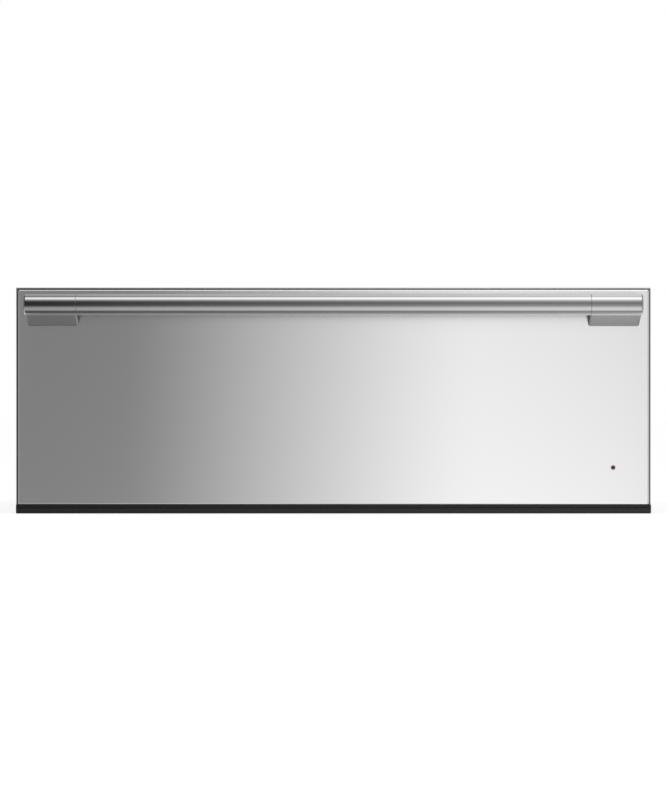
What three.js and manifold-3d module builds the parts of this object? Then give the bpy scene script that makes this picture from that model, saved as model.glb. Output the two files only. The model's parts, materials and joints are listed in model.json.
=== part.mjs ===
// A 30 inch built-in warming drawer: a folded steel chassis that stands in a cabinet cut-out, and an
// insulated stainless front that carries a pan out of it on two full-extension ball-bearing slides.
//
// Millimetres. +X is to the right seen from the front, +Z is up and the user stands on the -Y side.
// Everything is laid out from the cabinet's face, y = 0, and the finished group is then moved along Y
// so that its origin is the middle of its footprint.
import * as THREE from 'three';
import { mergeVertices } from 'three/addons/utils/BufferGeometryUtils.js';
import Module from 'manifold-3d';

const wasm = await Module();
wasm.setup();

// ------------------------------------------------------------------------------------------------
// Driving dimensions
// ------------------------------------------------------------------------------------------------

// The face, as the front view shows it.
const faceWidth = 758.8;
const faceHeight = 270;

// Sheet metal and the clearance between pieces that lie against each other.
const sheet = 1.2;
const fit = 0.3;

// The chassis, the folded box that stands in the cut-out, and how far the frame laps over the cabinet.
const frameOverlap = 23.9;
const frameOverlapTop = 16;
const chassisWidth = faceWidth - 2 * frameOverlap;
const chassisHeight = faceHeight - frameOverlapTop;
const chassisDepth = 560;
const baseHeight = 6;
const baseFlange = 18;
const panelFlange = 12;
const rearRoom = 40;
const skidInset = 115.5;
const skidWidth = 40;
const skidSlope = 4;
const ribWidth = 16;
const ribDepth = 2;
const ventLength = 30;
const ventWidth = 6;
const baseVentPitch = 60;
const coverVentPitch = 40;
const airSlotCount = 8;
const airSlotPitch = 80;
const louvreX = -60;
const louvrePitch = 18;

// The face frame, its opening and the seal round the opening.
const frameBorder = 17.4;
const frameBorderTop = 10;
const frameJoggle = 0.6;
const frameReturn = 26;
const frameHole = 4.6;
const frameHoleInset = 8.4;
const frameHoleShares = [0.26, 0.74];
const openingBottom = 68;
const controlRail = 32;
const openingTop = chassisHeight - controlRail;
const openingCorner = 3;
const sealInset = 2.2;
const sealWidth = 6;
const sealLip = 1.6;

// The black trim under the drawer front.
const trimHeight = 10.5;
const trimDepth = 29;
const trimWall = 1.5;
const trimLip = 2.7;
const trimGroove = 0.9;
const trimBand = 3.4;
const trimUndercut = 3;

// The heated cavity.
const sideAirGap = 4.1;
const roofRise = 2;
const floorBoard = 22;
const roofBoard = 18;
const boardStart = 60;
const boardCorner = 4;
const reflectorStart = 30;
const reflectorMargin = 8;
const reflectorLip = 9;
const reflectorClearance = 2;

// The sheathed heating element.
const elementDiameter = 6.5;
const elementPasses = 6;
const elementPitch = 60;
const elementMargin = 87;
const elementStart = 100;
const elementRise = 14;
const leadSpacing = 44;
const leadTuck = 6;
const leadTail = 14;
const supportInset = 82;

// What stands behind and through the cavity's back.
const probeX = 150;
const probeDrop = 15;
const probeDiameter = 5;
const probeReach = 44;
const breatherPitch = 12;
const breatherDiameter = 6;
const cutoutX = 60;
const cutoutDrop = 42;
const cutoutDiameter = 17;
const bladeWidth = 6;
const bladeSheet = 0.8;
const relayBoardX = 190;
const relayBoardDrop = 92;
const relayBoardWidth = 110;
const relayBoardHeight = 76;
const relayCount = 3;
const relayPitch = 26;
const relayWidth = 18;
const relayHeight = 24;
const relayDepth = 14;
const stripWidth = 72;
const stripHeight = 12;
const stripDepth = 9;
const spacerDiameter = 6;
const boardSheet = 1.6;
const inletInset = 105.5;
const inletZ = 66;
const inletDiameter = 22;
const blockWidth = 64;
const blockHeight = 18;
const blockDepth = 10;
const blockWays = 3;
const coverWidth = 104;
const coverHeight = 66;
const coverDepth = 20;
const coverCorner = 4;
const coverScrewInset = 8;

// The drawer front.
const frontGap = 7.5;
const frontThickness = 25.8;
const frontClearance = 0.5;
const frontReveal = 1.6;
const frontBend = 1.8;
const frontHem = 14;
const linerSheet = 1;
const linerMargin = 2;
const frontBoard = 15;

// The handle.
const barDiameter = 25.4;
const barWall = 2;
const handleInset = 14.4;
const handleLength = faceWidth - 2 * handleInset;
const handleStandoff = 51;
const handleDrop = 21.6;
const mountLength = 61;
const mountOuterEdge = 2.4;
const mountInnerEdge = 0.8;
const neckDrop = 24.5;
const neckRise = 8;
const neckCorner = 2.4;
const spigotLength = 16;
const boltSpacing = 34;
const boltDiameter = 5;
const boltHead = 11;
const boltHeadDepth = 4;
const boltReach = 14;

// The indicator, low on the right of the drawer front.
const lampInset = 45.7;
const lampZ = 55.1;
const lampDiameter = 4.2;
const guideCollar = 8;
const ledDiameter = 5;
const ledFlange = 1.2;
const ledBody = 6;

// The slides: cabinet rail, middle rail and drawer rail, with a cage of balls in each of the two gaps.
const slideHeight = 46;
const slideWidth = 12.7;
const slideRise = 56;
const slideSetback = 4;
const slideRearGap = 16;
const railLip = 2.2;
const ballRadius = 1.9;
const ballPlay = 0.1;
const cageWeb = 0.5;
const cageRib = 0.8;
const cageGap = 0.35;
const cageRoom = 10;
const ballsPerRow = 4;
const middleShortfall = 20;
const travelShortfall = 20;
const railHole = 4.5;

// The drawer's box, its lift-out pan and the rack in the pan.
const boxClearance = 4;
const boxHeadroom = 32;
const boxLedge = 12.8;
const boxEndGap = 8;
const backLedgeLip = 9;
const panSheet = 1;
const panFloorRise = 6;
const panRim = 11;
const panFront = 12;
const panRearGap = 24;
const panGap = 3;
const panCorner = 34;
const panDraft = 5;
const panFloorBend = 9;
const rackWire = 4;
const rackFrameWire = 6;
const rackRise = 12;
const rackMargin = 12;
const rackPitch = 38;

// The hidden controls on the frame's top rail.
const fasciaHeight = 20;
const fasciaFlange = 7;
const fasciaThickness = 2.7;
const fasciaRise = 12;
const fasciaCorner = 3;
const stemSlotHeight = 15;
const stemSlotMargin = 9;
const buttonCount = 5;
const buttonPitch = 34;
const buttonDiameter = 11.4;
const buttonProud = 1.4;
const buttonTravel = 1.2;
const buttonCollar = 13;
const buttonStem = 5;
const switchReach = 1.6;
const switchSize = 6;
const housingWidth = 286;
const housingHeight = 17;
const housingDepth = 26;
const housingWall = 1.5;
const housingEar = 8;

// The moisture slide on the back of the drawer front.
const ventCount = 7;
const ventPitch = 36;
const ventSlotLength = 15;
const ventSlotHeight = 6;
const ventTravel = 16;
const ventDrop = 16;
const ventPlateHeight = 14;
const ventPlateMargin = 12;
const ventTab = 5;
const ventTabWidth = 3;
const guideWidth = 4;

// ------------------------------------------------------------------------------------------------
// Planes and places worked out from them
// ------------------------------------------------------------------------------------------------

const chassisHalf = chassisWidth / 2;
const cavityHalf = chassisHalf - 2 * sheet - sideAirGap;
const cavityRoof = openingTop + roofRise;
const cavityBackY = chassisDepth - rearRoom;
const skidOffset = chassisHalf - skidInset;
const floorTop = baseHeight + sheet;
const boardTop = floorTop + fit + floorBoard;
const reflectorZ = boardTop + fit;
const elementZ = reflectorZ + sheet + elementRise;
const elementReach = cavityHalf - elementMargin;
const supportX = elementReach - supportInset;
const lastLeadX = elementReach - leadTuck;
const firstLeadX = lastLeadX + leadSpacing;
const backPanelY = chassisDepth - sheet;
const probeZ = openingTop - probeDrop;
const cutoutZ = openingTop - cutoutDrop;
const relayBoardZ = openingTop - relayBoardDrop;
const inletX = inletInset - chassisHalf;

const faceHalf = faceWidth / 2;
const frameLand = faceHalf - frameBorder;
const frameLandTop = faceHeight - frameBorderTop;
const frameHoleX = faceHalf - frameHoleInset;
const landFrontY = -sheet - frameJoggle;
const landBackY = -frameJoggle;
const chassisFrontY = landBackY + fit;
const linerBackY = landFrontY - frontGap;
const linerFrontY = linerBackY - linerSheet;
const hemBackY = linerFrontY - fit;
const frontY = linerBackY - frontThickness;
const skinBackY = frontY + sheet;
const frontHalf = faceHalf - sheet - frontReveal;
const frontBottom = trimHeight + frontClearance;
const frontTop = faceHeight - sheet - frontReveal;
const lampX = faceHalf - lampInset;

const barRadius = barDiameter / 2;
const barY = frontY - handleStandoff;
const barZ = faceHeight - handleDrop;
const handleHalf = handleLength / 2;
const mountInnerX = handleHalf - mountLength;
const mountMiddleX = handleHalf - mountLength / 2;
const mountBackY = frontY - fit;
const boltZ = barZ - (neckDrop - neckRise) / 2;

const slideLength = cavityBackY - slideRearGap - slideSetback;
const middleLength = slideLength - middleShortfall;
const drawerTravel = slideLength - travelShortfall;
const cageLength = (slideLength + middleLength - drawerTravel) / 2 - 2 * cageRoom;
const slideOuterX = cavityHalf - fit;
const railHalf = slideHeight / 2;
const outerBallZ = railHalf - sheet - ballPlay - ballRadius;
const middleHalf = outerBallZ - ballRadius - ballPlay;
const innerBallZ = middleHalf - sheet - ballPlay - ballRadius;
const drawerRailHalf = innerBallZ - ballRadius - ballPlay;

const boxHalf = slideOuterX - slideWidth - fit;
const boxInner = boxHalf - sheet;
const boxBottom = openingBottom + boxClearance;
const boxTop = openingTop - boxHeadroom;
const boxHeight = boxTop - boxBottom;
const slideCentre = boxBottom + slideRise;
const boxFrontY = linerBackY + fit;
const slideEndY = slideSetback + slideLength;
const boxBackY = slideEndY - boxEndGap;

const panHalf = boxInner - boxLedge - panGap;
const panBack = boxBackY - sheet - panRearGap - panRim;
const panRimZ = boxTop + fit;
const panDepth = boxHeight - panFloorRise;
const panFloorZ = panRimZ + panSheet - panDepth;

const fasciaWidth = housingWidth + 2 * fasciaFlange;
const fasciaBottom = openingTop + fasciaRise;
const controlZ = fasciaBottom + fasciaHeight / 2;
const fasciaBackY = landFrontY - fit;
const fasciaFrontY = fasciaBackY - fasciaThickness;
const switchY = landBackY + buttonTravel + fit + switchReach;
const buttonX = places(buttonCount, buttonPitch);
const stemSlotHalf = buttonX[buttonCount - 1] + stemSlotMargin;

const ventZ = openingTop - ventDrop;
const ventPlateY = linerBackY + fit;
const ventPlateTop = ventZ + ventPlateHeight / 2;
const ventPlateBottom = ventZ - ventPlateHeight / 2;
const ventPlateHalf = ((ventCount - 1) * ventPitch + ventSlotLength) / 2 + ventPlateMargin;

const rearY = chassisDepth + fit + coverDepth;
const foremostY = barY - barRadius;

// ------------------------------------------------------------------------------------------------
// Materials
// ------------------------------------------------------------------------------------------------

const finish = (color, roughness, metalness) =>
  new THREE.MeshStandardMaterial({ color, roughness, metalness });
const brushedStainless = finish(0xc9cac8, 0.34, 1);
const polishedStainless = finish(0xd2d3d2, 0.22, 1);
const galvanised = finish(0xaab0b2, 0.48, 0.9);
const aluminised = finish(0xb9bbba, 0.38, 0.95);
const zincPlate = finish(0xb4b9bd, 0.35, 0.95);
const blackTrim = finish(0x1c1c1d, 0.4, 0.2);
const blackFascia = finish(0x0c0d0e, 0.12, 0);
const buttonGrey = finish(0x8d9092, 0.45, 0.1);
const sealGrey = finish(0x3a3b3c, 0.8, 0);
const mineralBoard = finish(0xcbbf8f, 0.95, 0);
const elementSheath = finish(0x4b4642, 0.55, 0.8);
const boardGreen = finish(0x1f5a3a, 0.5, 0);
const whiteMoulding = finish(0xe4e0d4, 0.55, 0);
const blackMoulding = finish(0x202122, 0.6, 0);
const lampRed = finish(0x6a1420, 0.2, 0);

// ------------------------------------------------------------------------------------------------
// Outlines: flat shapes that the pieces are folded, cut and revolved from
// ------------------------------------------------------------------------------------------------

/** Points along an arc, both ends included. Angles are in degrees. */
function arc(u, v, radius, from, to, steps) {
  return Array.from({ length: steps + 1 }, (_, i) => {
    const angle = THREE.MathUtils.degToRad(from + ((to - from) * i) / steps);
    return [u + radius * Math.cos(angle), v + radius * Math.sin(angle)];
  });
}

/** Evenly spaced places centred on 0. */
function places(count, pitch) {
  return Array.from({ length: count }, (_, i) => (i - (count - 1) / 2) * pitch);
}

function polygon(points) {
  return new THREE.Shape(points.map(([u, v]) => new THREE.Vector2(u, v)));
}

function rectangle(u0, u1, v0, v1) {
  return polygon([[u0, v0], [u1, v0], [u1, v1], [u0, v1]]);
}

function roundedPoints(u0, u1, v0, v1, radius, steps = 4) {
  return [
    ...arc(u1 - radius, v1 - radius, radius, 0, 90, steps),
    ...arc(u0 + radius, v1 - radius, radius, 90, 180, steps),
    ...arc(u0 + radius, v0 + radius, radius, 180, 270, steps),
    ...arc(u1 - radius, v0 + radius, radius, 270, 360, steps),
  ];
}

function roundedRectangle(u0, u1, v0, v1, radius, steps = 4) {
  return polygon(roundedPoints(u0, u1, v0, v1, radius, steps));
}

function disc(u, v, radius, steps = 16) {
  return polygon(arc(u, v, radius, 0, 360, steps).slice(0, -1));
}

/** A slot that is the given size over all, with its ends eased to half octagons. */
function slot(u, v, width, height) {
  const nearlyHalf = 0.499 * Math.min(width, height);
  return roundedRectangle(u - width / 2, u + width / 2, v - height / 2, v + height / 2, nearlyHalf, 1);
}

function unitNormal([u0, v0], [u1, v1]) {
  const length = Math.hypot(u1 - u0, v1 - v0);
  return [-(v1 - v0) / length, (u1 - u0) / length];
}

/** The section of a sheet of the given gauge folded along a centreline. */
function foldedSheet(path, gauge) {
  const side = (offset) => path.map(([u, v], i) => {
    const before = unitNormal(path[Math.max(i - 1, 0)], path[Math.max(i, 1)]);
    const after = unitNormal(path[Math.min(i, path.length - 2)], path[Math.min(i + 1, path.length - 1)]);
    const mitre = 1 + before[0] * after[0] + before[1] * after[1];
    return [u + (offset * (before[0] + after[0])) / mitre, v + (offset * (before[1] + after[1])) / mitre];
  });
  return polygon([...side(gauge / 2), ...side(-gauge / 2).reverse()]);
}

function withHoles(shape, holes) {
  shape.holes.push(...holes);
  return shape;
}

// ------------------------------------------------------------------------------------------------
// Solids from outlines: X, Y or Z in a name is the way that the outline is drawn out
// ------------------------------------------------------------------------------------------------

const alongX = new THREE.Matrix4().makeBasis(
  new THREE.Vector3(0, 1, 0), new THREE.Vector3(0, 0, 1), new THREE.Vector3(1, 0, 0));
const alongY = new THREE.Matrix4().makeBasis(
  new THREE.Vector3(1, 0, 0), new THREE.Vector3(0, 0, 1), new THREE.Vector3(0, -1, 0));

/** An outline drawn out along Z, with its two end edges rounded by the given radius. */
function drawnOut(shape, depth, edge) {
  return new THREE.ExtrudeGeometry(shape, {
    depth: depth - 2 * edge,
    bevelEnabled: edge > 0,
    bevelThickness: edge,
    bevelSize: edge,
    bevelOffset: -edge,
    bevelSegments: 3,
  }).translate(0, 0, edge);
}

function prismX(shape, x0, x1, edge = 0) {
  return drawnOut(shape, x1 - x0, edge).applyMatrix4(alongX).translate(x0, 0, 0);
}

function prismY(shape, y0, y1, edge = 0) {
  return drawnOut(shape, y1 - y0, edge).applyMatrix4(alongY).translate(0, y1, 0);
}

function prismZ(shape, z0, z1, edge = 0) {
  return drawnOut(shape, z1 - z0, edge).translate(0, 0, z0);
}

function block(x0, x1, y0, y1, z0, z1) {
  const box = new THREE.BoxGeometry(x1 - x0, y1 - y0, z1 - z0);
  return box.translate((x0 + x1) / 2, (y0 + y1) / 2, (z0 + z1) / 2);
}

/** A profile of [radius, x] points revolved about the line along X through (y, z). */
function turnedX(profile, y, z, segments) {
  const points = profile.map(([radius, x]) => new THREE.Vector2(radius, x));
  return new THREE.LatheGeometry(points, segments).rotateZ(-Math.PI / 2).translate(0, y, z);
}

/** A profile of [radius, y] points revolved about the line along Y through (x, z). */
function turnedY(profile, x, z, segments) {
  const points = profile.map(([radius, y]) => new THREE.Vector2(radius, y));
  return new THREE.LatheGeometry(points, segments).translate(x, 0, z);
}

/** Closed rings of equally many [x, y, z] points, skinned one to the next and capped at both ends. */
function skinned(rings) {
  const count = rings[0].length;
  const last = (rings.length - 1) * count;
  const index = [];
  for (let r = 0; r + 1 < rings.length; r++) {
    for (let i = 0; i < count; i++) {
      const a = r * count + i;
      const b = r * count + ((i + 1) % count);
      index.push(a, b, b + count, a, b + count, a + count);
    }
  }
  for (let i = 1; i + 1 < count; i++) {
    index.push(0, i + 1, i, last, last + i, last + i + 1);
  }
  const geometry = new THREE.BufferGeometry();
  geometry.setAttribute('position', new THREE.Float32BufferAttribute(rings.flat(2), 3));
  geometry.setIndex(index);
  return geometry;
}

/** A round rod that follows a level path of [x, y] points at height z. */
function levelRod(path, z, radius, sides) {
  return skinned(path.map(([x, y], i) => {
    const [nx, ny] = unitNormal(path[Math.max(i - 1, 0)], path[Math.min(i + 1, path.length - 1)]);
    const section = arc(0, 0, radius, 0, 360, sides).slice(0, -1);
    return section.map(([u, v]) => [x + u * nx, y + u * ny, z + v]);
  }));
}

// ------------------------------------------------------------------------------------------------
// Joining and cutting
// ------------------------------------------------------------------------------------------------

/** The solid that a closed mesh bounds, whichever way its faces were wound. */
function toSolid(geometry) {
  const bare = geometry.clone();
  bare.deleteAttribute('normal');
  bare.deleteAttribute('uv');
  const merged = mergeVertices(bare, 1e-4);
  const faces = [];
  const corners = merged.index.array;
  for (let i = 0; i < corners.length; i += 3) {
    const [a, b, c] = [corners[i], corners[i + 1], corners[i + 2]];
    if (a !== b && b !== c && c !== a) faces.push([a, b, c]);
  }
  const solidOf = (triangles) => new wasm.Manifold(new wasm.Mesh({
    numProp: 3,
    vertProperties: new Float32Array(merged.attributes.position.array),
    triVerts: new Uint32Array(triangles.flat()),
  }));
  const solid = solidOf(faces);
  return solid.volume() > 0 ? solid : solidOf(faces.map(([a, b, c]) => [a, c, b]));
}

function toGeometry(solid) {
  const mesh = solid.getMesh();
  const geometry = new THREE.BufferGeometry();
  geometry.setAttribute('position', new THREE.BufferAttribute(mesh.vertProperties, 3));
  geometry.setIndex(new THREE.BufferAttribute(mesh.triVerts, 1));
  return geometry;
}

function join(...pieces) {
  return toGeometry(pieces.map(toSolid).reduce((whole, piece) => whole.add(piece)));
}

function cut(body, ...tools) {
  return toGeometry(tools.map(toSolid).reduce((rest, tool) => rest.subtract(tool), toSolid(body)));
}

// ------------------------------------------------------------------------------------------------
// The assembly
// ------------------------------------------------------------------------------------------------

const assembly = new THREE.Group();
assembly.position.y = -(foremostY + rearY) / 2;

function addPiece(name, geometry, material) {
  const faceted = toGeometry(toSolid(geometry)).toNonIndexed();
  faceted.computeVertexNormals();
  const mesh = new THREE.Mesh(faceted, material);
  mesh.name = name;
  assembly.add(mesh);
}

/** The same piece on both sides: modelled on the right, +X, and mirrored to the left. */
function addPair(name, geometry, material) {
  addPiece(`right_${name}`, geometry, material);
  addPiece(`left_${name}`, geometry.clone().scale(-1, 1, 1), material);
}

// Tools that cut through a wall reach this far past both its faces, and joined pieces lap this far.
const past = 1;
const lap = 0.2;

// How many flats stand for the handle's round, and for a button's.
const roundSteps = 24;
const buttonSteps = 12;

// ---- Chassis: folded panels ----

const wallInnerX = chassisHalf - sheet;
const baseEdgeX = wallInnerX - fit - sheet / 2;
const baseRearY = backPanelY - fit;
const coverBottom = chassisHeight - sheet;

function basePan() {
  const flatZ = baseHeight + sheet / 2;
  const skidZ = sheet / 2;
  const inner = skidOffset - skidWidth / 2;
  const outer = skidOffset + skidWidth / 2;
  const rightHalf = [
    [inner - skidSlope, flatZ],
    [inner, skidZ],
    [outer, skidZ],
    [outer + skidSlope, flatZ],
    [baseEdgeX, flatZ],
    [baseEdgeX, baseHeight + baseFlange],
  ];
  const leftHalf = rightHalf.map(([x, z]) => [-x, z]).reverse();
  const pan = prismY(foldedSheet([...leftHalf, ...rightHalf], sheet), chassisFrontY, baseRearY);
  const lipHalf = cavityHalf - fit;
  const lip = block(-lipHalf, lipHalf, chassisFrontY, chassisFrontY + sheet, baseHeight + lap,
    baseHeight + baseFlange);
  const vents = [chassisDepth / 2, (cavityBackY + baseRearY) / 2].flatMap((y) =>
    places(5, baseVentPitch).map((x) => prismZ(
      slot(x, y, ventLength, ventWidth), baseHeight - past, floorTop + past)));
  return cut(join(pan, lip), ...vents);
}

function sidePanel() {
  const wallX = chassisHalf - sheet / 2;
  const topZ = coverBottom - fit - sheet / 2;
  const folded = foldedSheet([[wallX, baseHeight], [wallX, topZ], [wallX - panelFlange, topZ]], sheet);
  const wall = prismY(folded, chassisFrontY, chassisDepth);
  const ribs = [];
  const grooves = [];
  for (const z of [0.34 * chassisHeight, 0.72 * chassisHeight]) {
    const rib = (grow) =>
      slot(0.46 * chassisDepth, z, 0.74 * chassisDepth + 2 * grow, ribWidth + 2 * grow);
    ribs.push(prismX(rib(sheet), wallInnerX - ribDepth, wallInnerX + lap));
    grooves.push(prismX(rib(0), chassisHalf - ribDepth, chassisHalf + past));
  }
  const ventY = cavityBackY + rearRoom / 2;
  const vents = places(5, 2.6 * ventWidth).map((rise) => prismX(
    slot(ventY, chassisHeight / 2 + rise, rearRoom / 2, ventWidth), wallInnerX - past, chassisHalf + past));
  return cut(join(wall, ...ribs), ...grooves, ...vents);
}

function topCover() {
  const plate = block(-chassisHalf, chassisHalf, chassisFrontY, chassisDepth, coverBottom, chassisHeight);
  const ribs = [];
  const grooves = [];
  const ribStart = housingDepth + 3 * ribWidth;
  const ribLength = cavityBackY - ribStart - ribWidth;
  for (const x of places(3, 0.28 * chassisWidth)) {
    const rib = (grow) =>
      slot(x, ribStart + ribLength / 2, ribWidth + 2 * grow, ribLength + 2 * grow);
    ribs.push(prismZ(rib(sheet), coverBottom - ribDepth, coverBottom + lap));
    grooves.push(prismZ(rib(0), chassisHeight - ribDepth, chassisHeight + past));
  }
  const vents = places(5, coverVentPitch).map((x) => prismZ(
    slot(x, cavityBackY + rearRoom / 2, ventWidth, rearRoom / 2), coverBottom - past, chassisHeight + past));
  return cut(join(plate, ...ribs), ...grooves, ...vents);
}

function backPanel() {
  const half = wallInnerX - fit;
  const bottom = floorTop + fit;
  const top = coverBottom - sheet - 2 * fit;
  const flangeY = backPanelY - panelFlange;
  const notchTop = baseHeight + baseFlange + fit;
  const plate = block(-half + sheet + 2 * fit, half - sheet - 2 * fit, backPanelY, chassisDepth, bottom, top);
  const ears = [-1, 1].map((side) => block(
    Math.min(side * half, side * (half - 3 * sheet)), Math.max(side * half, side * (half - 3 * sheet)),
    backPanelY, chassisDepth, notchTop, top));
  const flanges = [-1, 1].map((side) => block(
    Math.min(side * half, side * (half - sheet)), Math.max(side * half, side * (half - sheet)),
    flangeY, backPanelY + lap, notchTop, top - panelFlange));
  const louvres = [louvreX, relayBoardX].flatMap((centre) => places(5, louvrePitch).map((x) => prismY(
    slot(centre + x, 0.62 * chassisHeight, ventWidth, 2 * ventLength),
    backPanelY - past, chassisDepth + past)));
  const inlet = prismY(disc(inletX, inletZ, inletDiameter / 2, 16), backPanelY - past, chassisDepth + past);
  return cut(join(plate, ...ears, ...flanges), ...louvres, inlet);
}

// ---- Chassis: face frame, seal and trim ----

function faceFrame() {
  const opening = roundedRectangle(-cavityHalf, cavityHalf, openingBottom, openingTop, openingCorner, 2);
  const land = prismY(withHoles(rectangle(-frameLand, frameLand, 0, frameLandTop), [opening]),
    landFrontY, landBackY);
  const border = prismY(polygon([
    [-faceHalf, 0], [lap - frameLand, 0], [lap - frameLand, frameLandTop - lap],
    [frameLand - lap, frameLandTop - lap], [frameLand - lap, 0], [faceHalf, 0],
    [faceHalf, faceHeight], [-faceHalf, faceHeight],
  ]), -sheet, 0);
  const returnY = -sheet - frameReturn;
  const returns = [
    block(-faceHalf, sheet - faceHalf, returnY, lap - sheet, trimHeight, faceHeight),
    block(faceHalf - sheet, faceHalf, returnY, lap - sheet, trimHeight, faceHeight),
    block(-faceHalf, faceHalf, returnY, lap - sheet, faceHeight - sheet, faceHeight),
  ];
  const through = (shape) => prismY(shape, landFrontY - past, past);
  const screwHoles = [-frameHoleX, frameHoleX].flatMap((x) =>
    frameHoleShares.map((share) => through(disc(x, share * faceHeight, frameHole / 2, 10))));
  const stemSlot = through(roundedRectangle(-stemSlotHalf, stemSlotHalf,
    controlZ - stemSlotHeight / 2, controlZ + stemSlotHeight / 2, openingCorner, 2));
  const ledHole = through(disc(lampX, lampZ, ledDiameter / 2 + fit, 12));
  const airSlots = places(airSlotCount, airSlotPitch).map((x) => through(
    slot(x, baseHeight / 2, ventLength, baseHeight / 2)));
  return cut(join(land, border, ...returns), ...screwHoles, stemSlot, ledHole, ...airSlots);
}

/** A hollow bulb seal: a flat foot against the frame and a lip towards the drawer front. */
function drawerSeal() {
  const ring = (inset, radius) => roundedRectangle(
    -cavityHalf - inset, cavityHalf + inset, openingBottom - inset, openingTop + inset, radius, 3);
  const outer = sealInset + sealWidth;
  const backY = landFrontY - fit;
  const frontEdgeY = linerBackY + fit;
  const foot = prismY(withHoles(ring(outer, outer), [ring(sealInset, sealInset)]), frontEdgeY, backY);
  const crown = (from, to) => prismY(withHoles(ring(to, to), [ring(from, from)]),
    frontEdgeY - past, frontEdgeY + sealLip);
  return cut(foot, crown(outer - sealLip, outer + past), crown(sealInset / 2, sealInset + sealLip));
}

function ventTrim() {
  const backY = landFrontY - fit;
  const foreY = backY - trimDepth;
  const grooveTop = trimHeight - trimLip;
  const grooveBottom = grooveTop - trimGroove;
  const bandBottom = grooveBottom - trimBand;
  const blade = polygon([
    [backY, trimHeight],
    [foreY, trimHeight],
    [foreY, grooveTop],
    [foreY + trimWall, grooveTop],
    [foreY + trimWall, grooveBottom],
    [foreY, grooveBottom],
    [foreY, bandBottom],
    [foreY + trimUndercut, 0],
    [foreY + trimUndercut + trimWall, 0],
    [foreY + 2 * trimWall, bandBottom + trimWall / 3],
    [foreY + 2 * trimWall, trimHeight - trimWall],
    [backY, trimHeight - trimWall],
  ]);
  const cheek = polygon([
    [backY, 0], [backY, trimHeight], [foreY, trimHeight], [foreY, bandBottom], [foreY + trimUndercut, 0],
  ]);
  const cheeks = [[-faceHalf, trimWall - faceHalf], [faceHalf - trimWall, faceHalf]];
  const ends = cheeks.map(([x0, x1]) => prismX(cheek, x0, x1));
  return join(prismX(blade, lap - faceHalf, faceHalf - lap), ...ends);
}

// ---- Chassis: the heated cavity ----

function cavityLiner() {
  const wallX = cavityHalf + sheet / 2;
  const roofZ = cavityRoof + sheet / 2;
  const footZ = floorTop + fit;
  const folded = foldedSheet([[-wallX, footZ], [-wallX, roofZ], [wallX, roofZ], [wallX, footZ]], sheet);
  return prismY(folded, chassisFrontY, cavityBackY - fit);
}

function cavityBack() {
  const half = cavityHalf + sheet;
  const plate = block(-half, half, cavityBackY, cavityBackY + sheet, floorTop + fit, cavityRoof + sheet);
  const holes = [
    ...[firstLeadX, lastLeadX].map((x) => disc(-x, elementZ, elementDiameter / 2 + fit, 12)),
    disc(probeX, probeZ, probeDiameter / 2 + fit, 12),
    ...[-1, 1].flatMap((row) => places(4, breatherPitch).map((x) =>
      disc(x - probeX, probeZ + (row * breatherPitch) / 2, breatherDiameter / 2, 6))),
  ];
  return cut(plate, ...holes.map((hole) => prismY(hole, cavityBackY - past, cavityBackY + sheet + past)));
}

/** Mineral board between y0 and y1, with its corners eased. */
function insulationBoard(half, y0, y1, z0, thickness) {
  return prismZ(roundedRectangle(-half, half, y0, y1, boardCorner, 2), z0, z0 + thickness);
}

/** The tray under the element. Its tall front wall keeps the heat from the wiring behind the frame. */
function heatReflector() {
  const half = cavityHalf - reflectorMargin;
  const lipX = half - sheet / 2;
  const z = reflectorZ + sheet / 2;
  const wallTop = openingBottom - reflectorClearance;
  const rearY = cavityBackY - reflectorMargin;
  const lipTop = z + reflectorLip;
  const folded = foldedSheet([[-lipX, lipTop], [-lipX, z], [lipX, z], [lipX, lipTop]], sheet);
  const wall = foldedSheet([
    [reflectorStart + 2 * reflectorLip, z], [reflectorStart, z],
    [reflectorStart, wallTop], [reflectorStart - reflectorLip, wallTop],
  ], sheet);
  return join(prismY(folded, reflectorStart, rearY), prismX(wall, -half, half));
}

/** The element's centreline: in at the back, to and fro across the floor, and out at the back. */
function elementPath() {
  const bend = elementPitch / 2;
  const legX = elementReach - bend;
  const lastY = elementStart + (elementPasses - 1) * elementPitch;
  const lastBend = lastLeadX - legX;
  const rearEnd = cavityBackY + sheet + leadTail;
  const turns = Array.from({ length: elementPasses - 1 }, (_, turn) => {
    const side = turn % 2 === 0 ? 1 : -1;
    const y = elementStart + (turn + 0.5) * elementPitch;
    return arc(0, 0, bend, -90, 90, 5).map(([u, v]) => [side * (legX + u), y + v]);
  });
  return [
    [-firstLeadX, rearEnd],
    ...arc(bend - firstLeadX, elementStart + bend, bend, 180, 270, 4),
    ...turns.flat(),
    ...arc(-legX, lastY + lastBend, lastBend, 270, 180, 4),
    [-lastLeadX, rearEnd],
  ];
}

function heatingElement() {
  return levelRod(elementPath(), elementZ, elementDiameter / 2, 6);
}

/** An upright comb whose notches cradle each pass of the element. */
function elementSupport() {
  const foot = reflectorZ + sheet + fit;
  const top = elementZ + elementDiameter / 2;
  const cradle = elementDiameter / 2 + fit;
  const firstY = elementStart - elementPitch / 3;
  const lastY = elementStart + (elementPasses - 1) * elementPitch + elementPitch / 3;
  const notches = Array.from({ length: elementPasses }, (_, pass) => {
    const y = elementStart + (elementPasses - 1 - pass) * elementPitch;
    return [[y + cradle, top], ...arc(y, elementZ, cradle, 0, -180, 4), [y - cradle, top]];
  });
  const comb = polygon([[firstY, foot], [lastY, foot], [lastY, top], ...notches.flat(), [firstY, top]]);
  const flange = block(supportX, supportX + panelFlange, firstY, lastY, foot, foot + sheet);
  return join(prismX(comb, supportX, supportX + sheet), flange);
}

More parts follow.
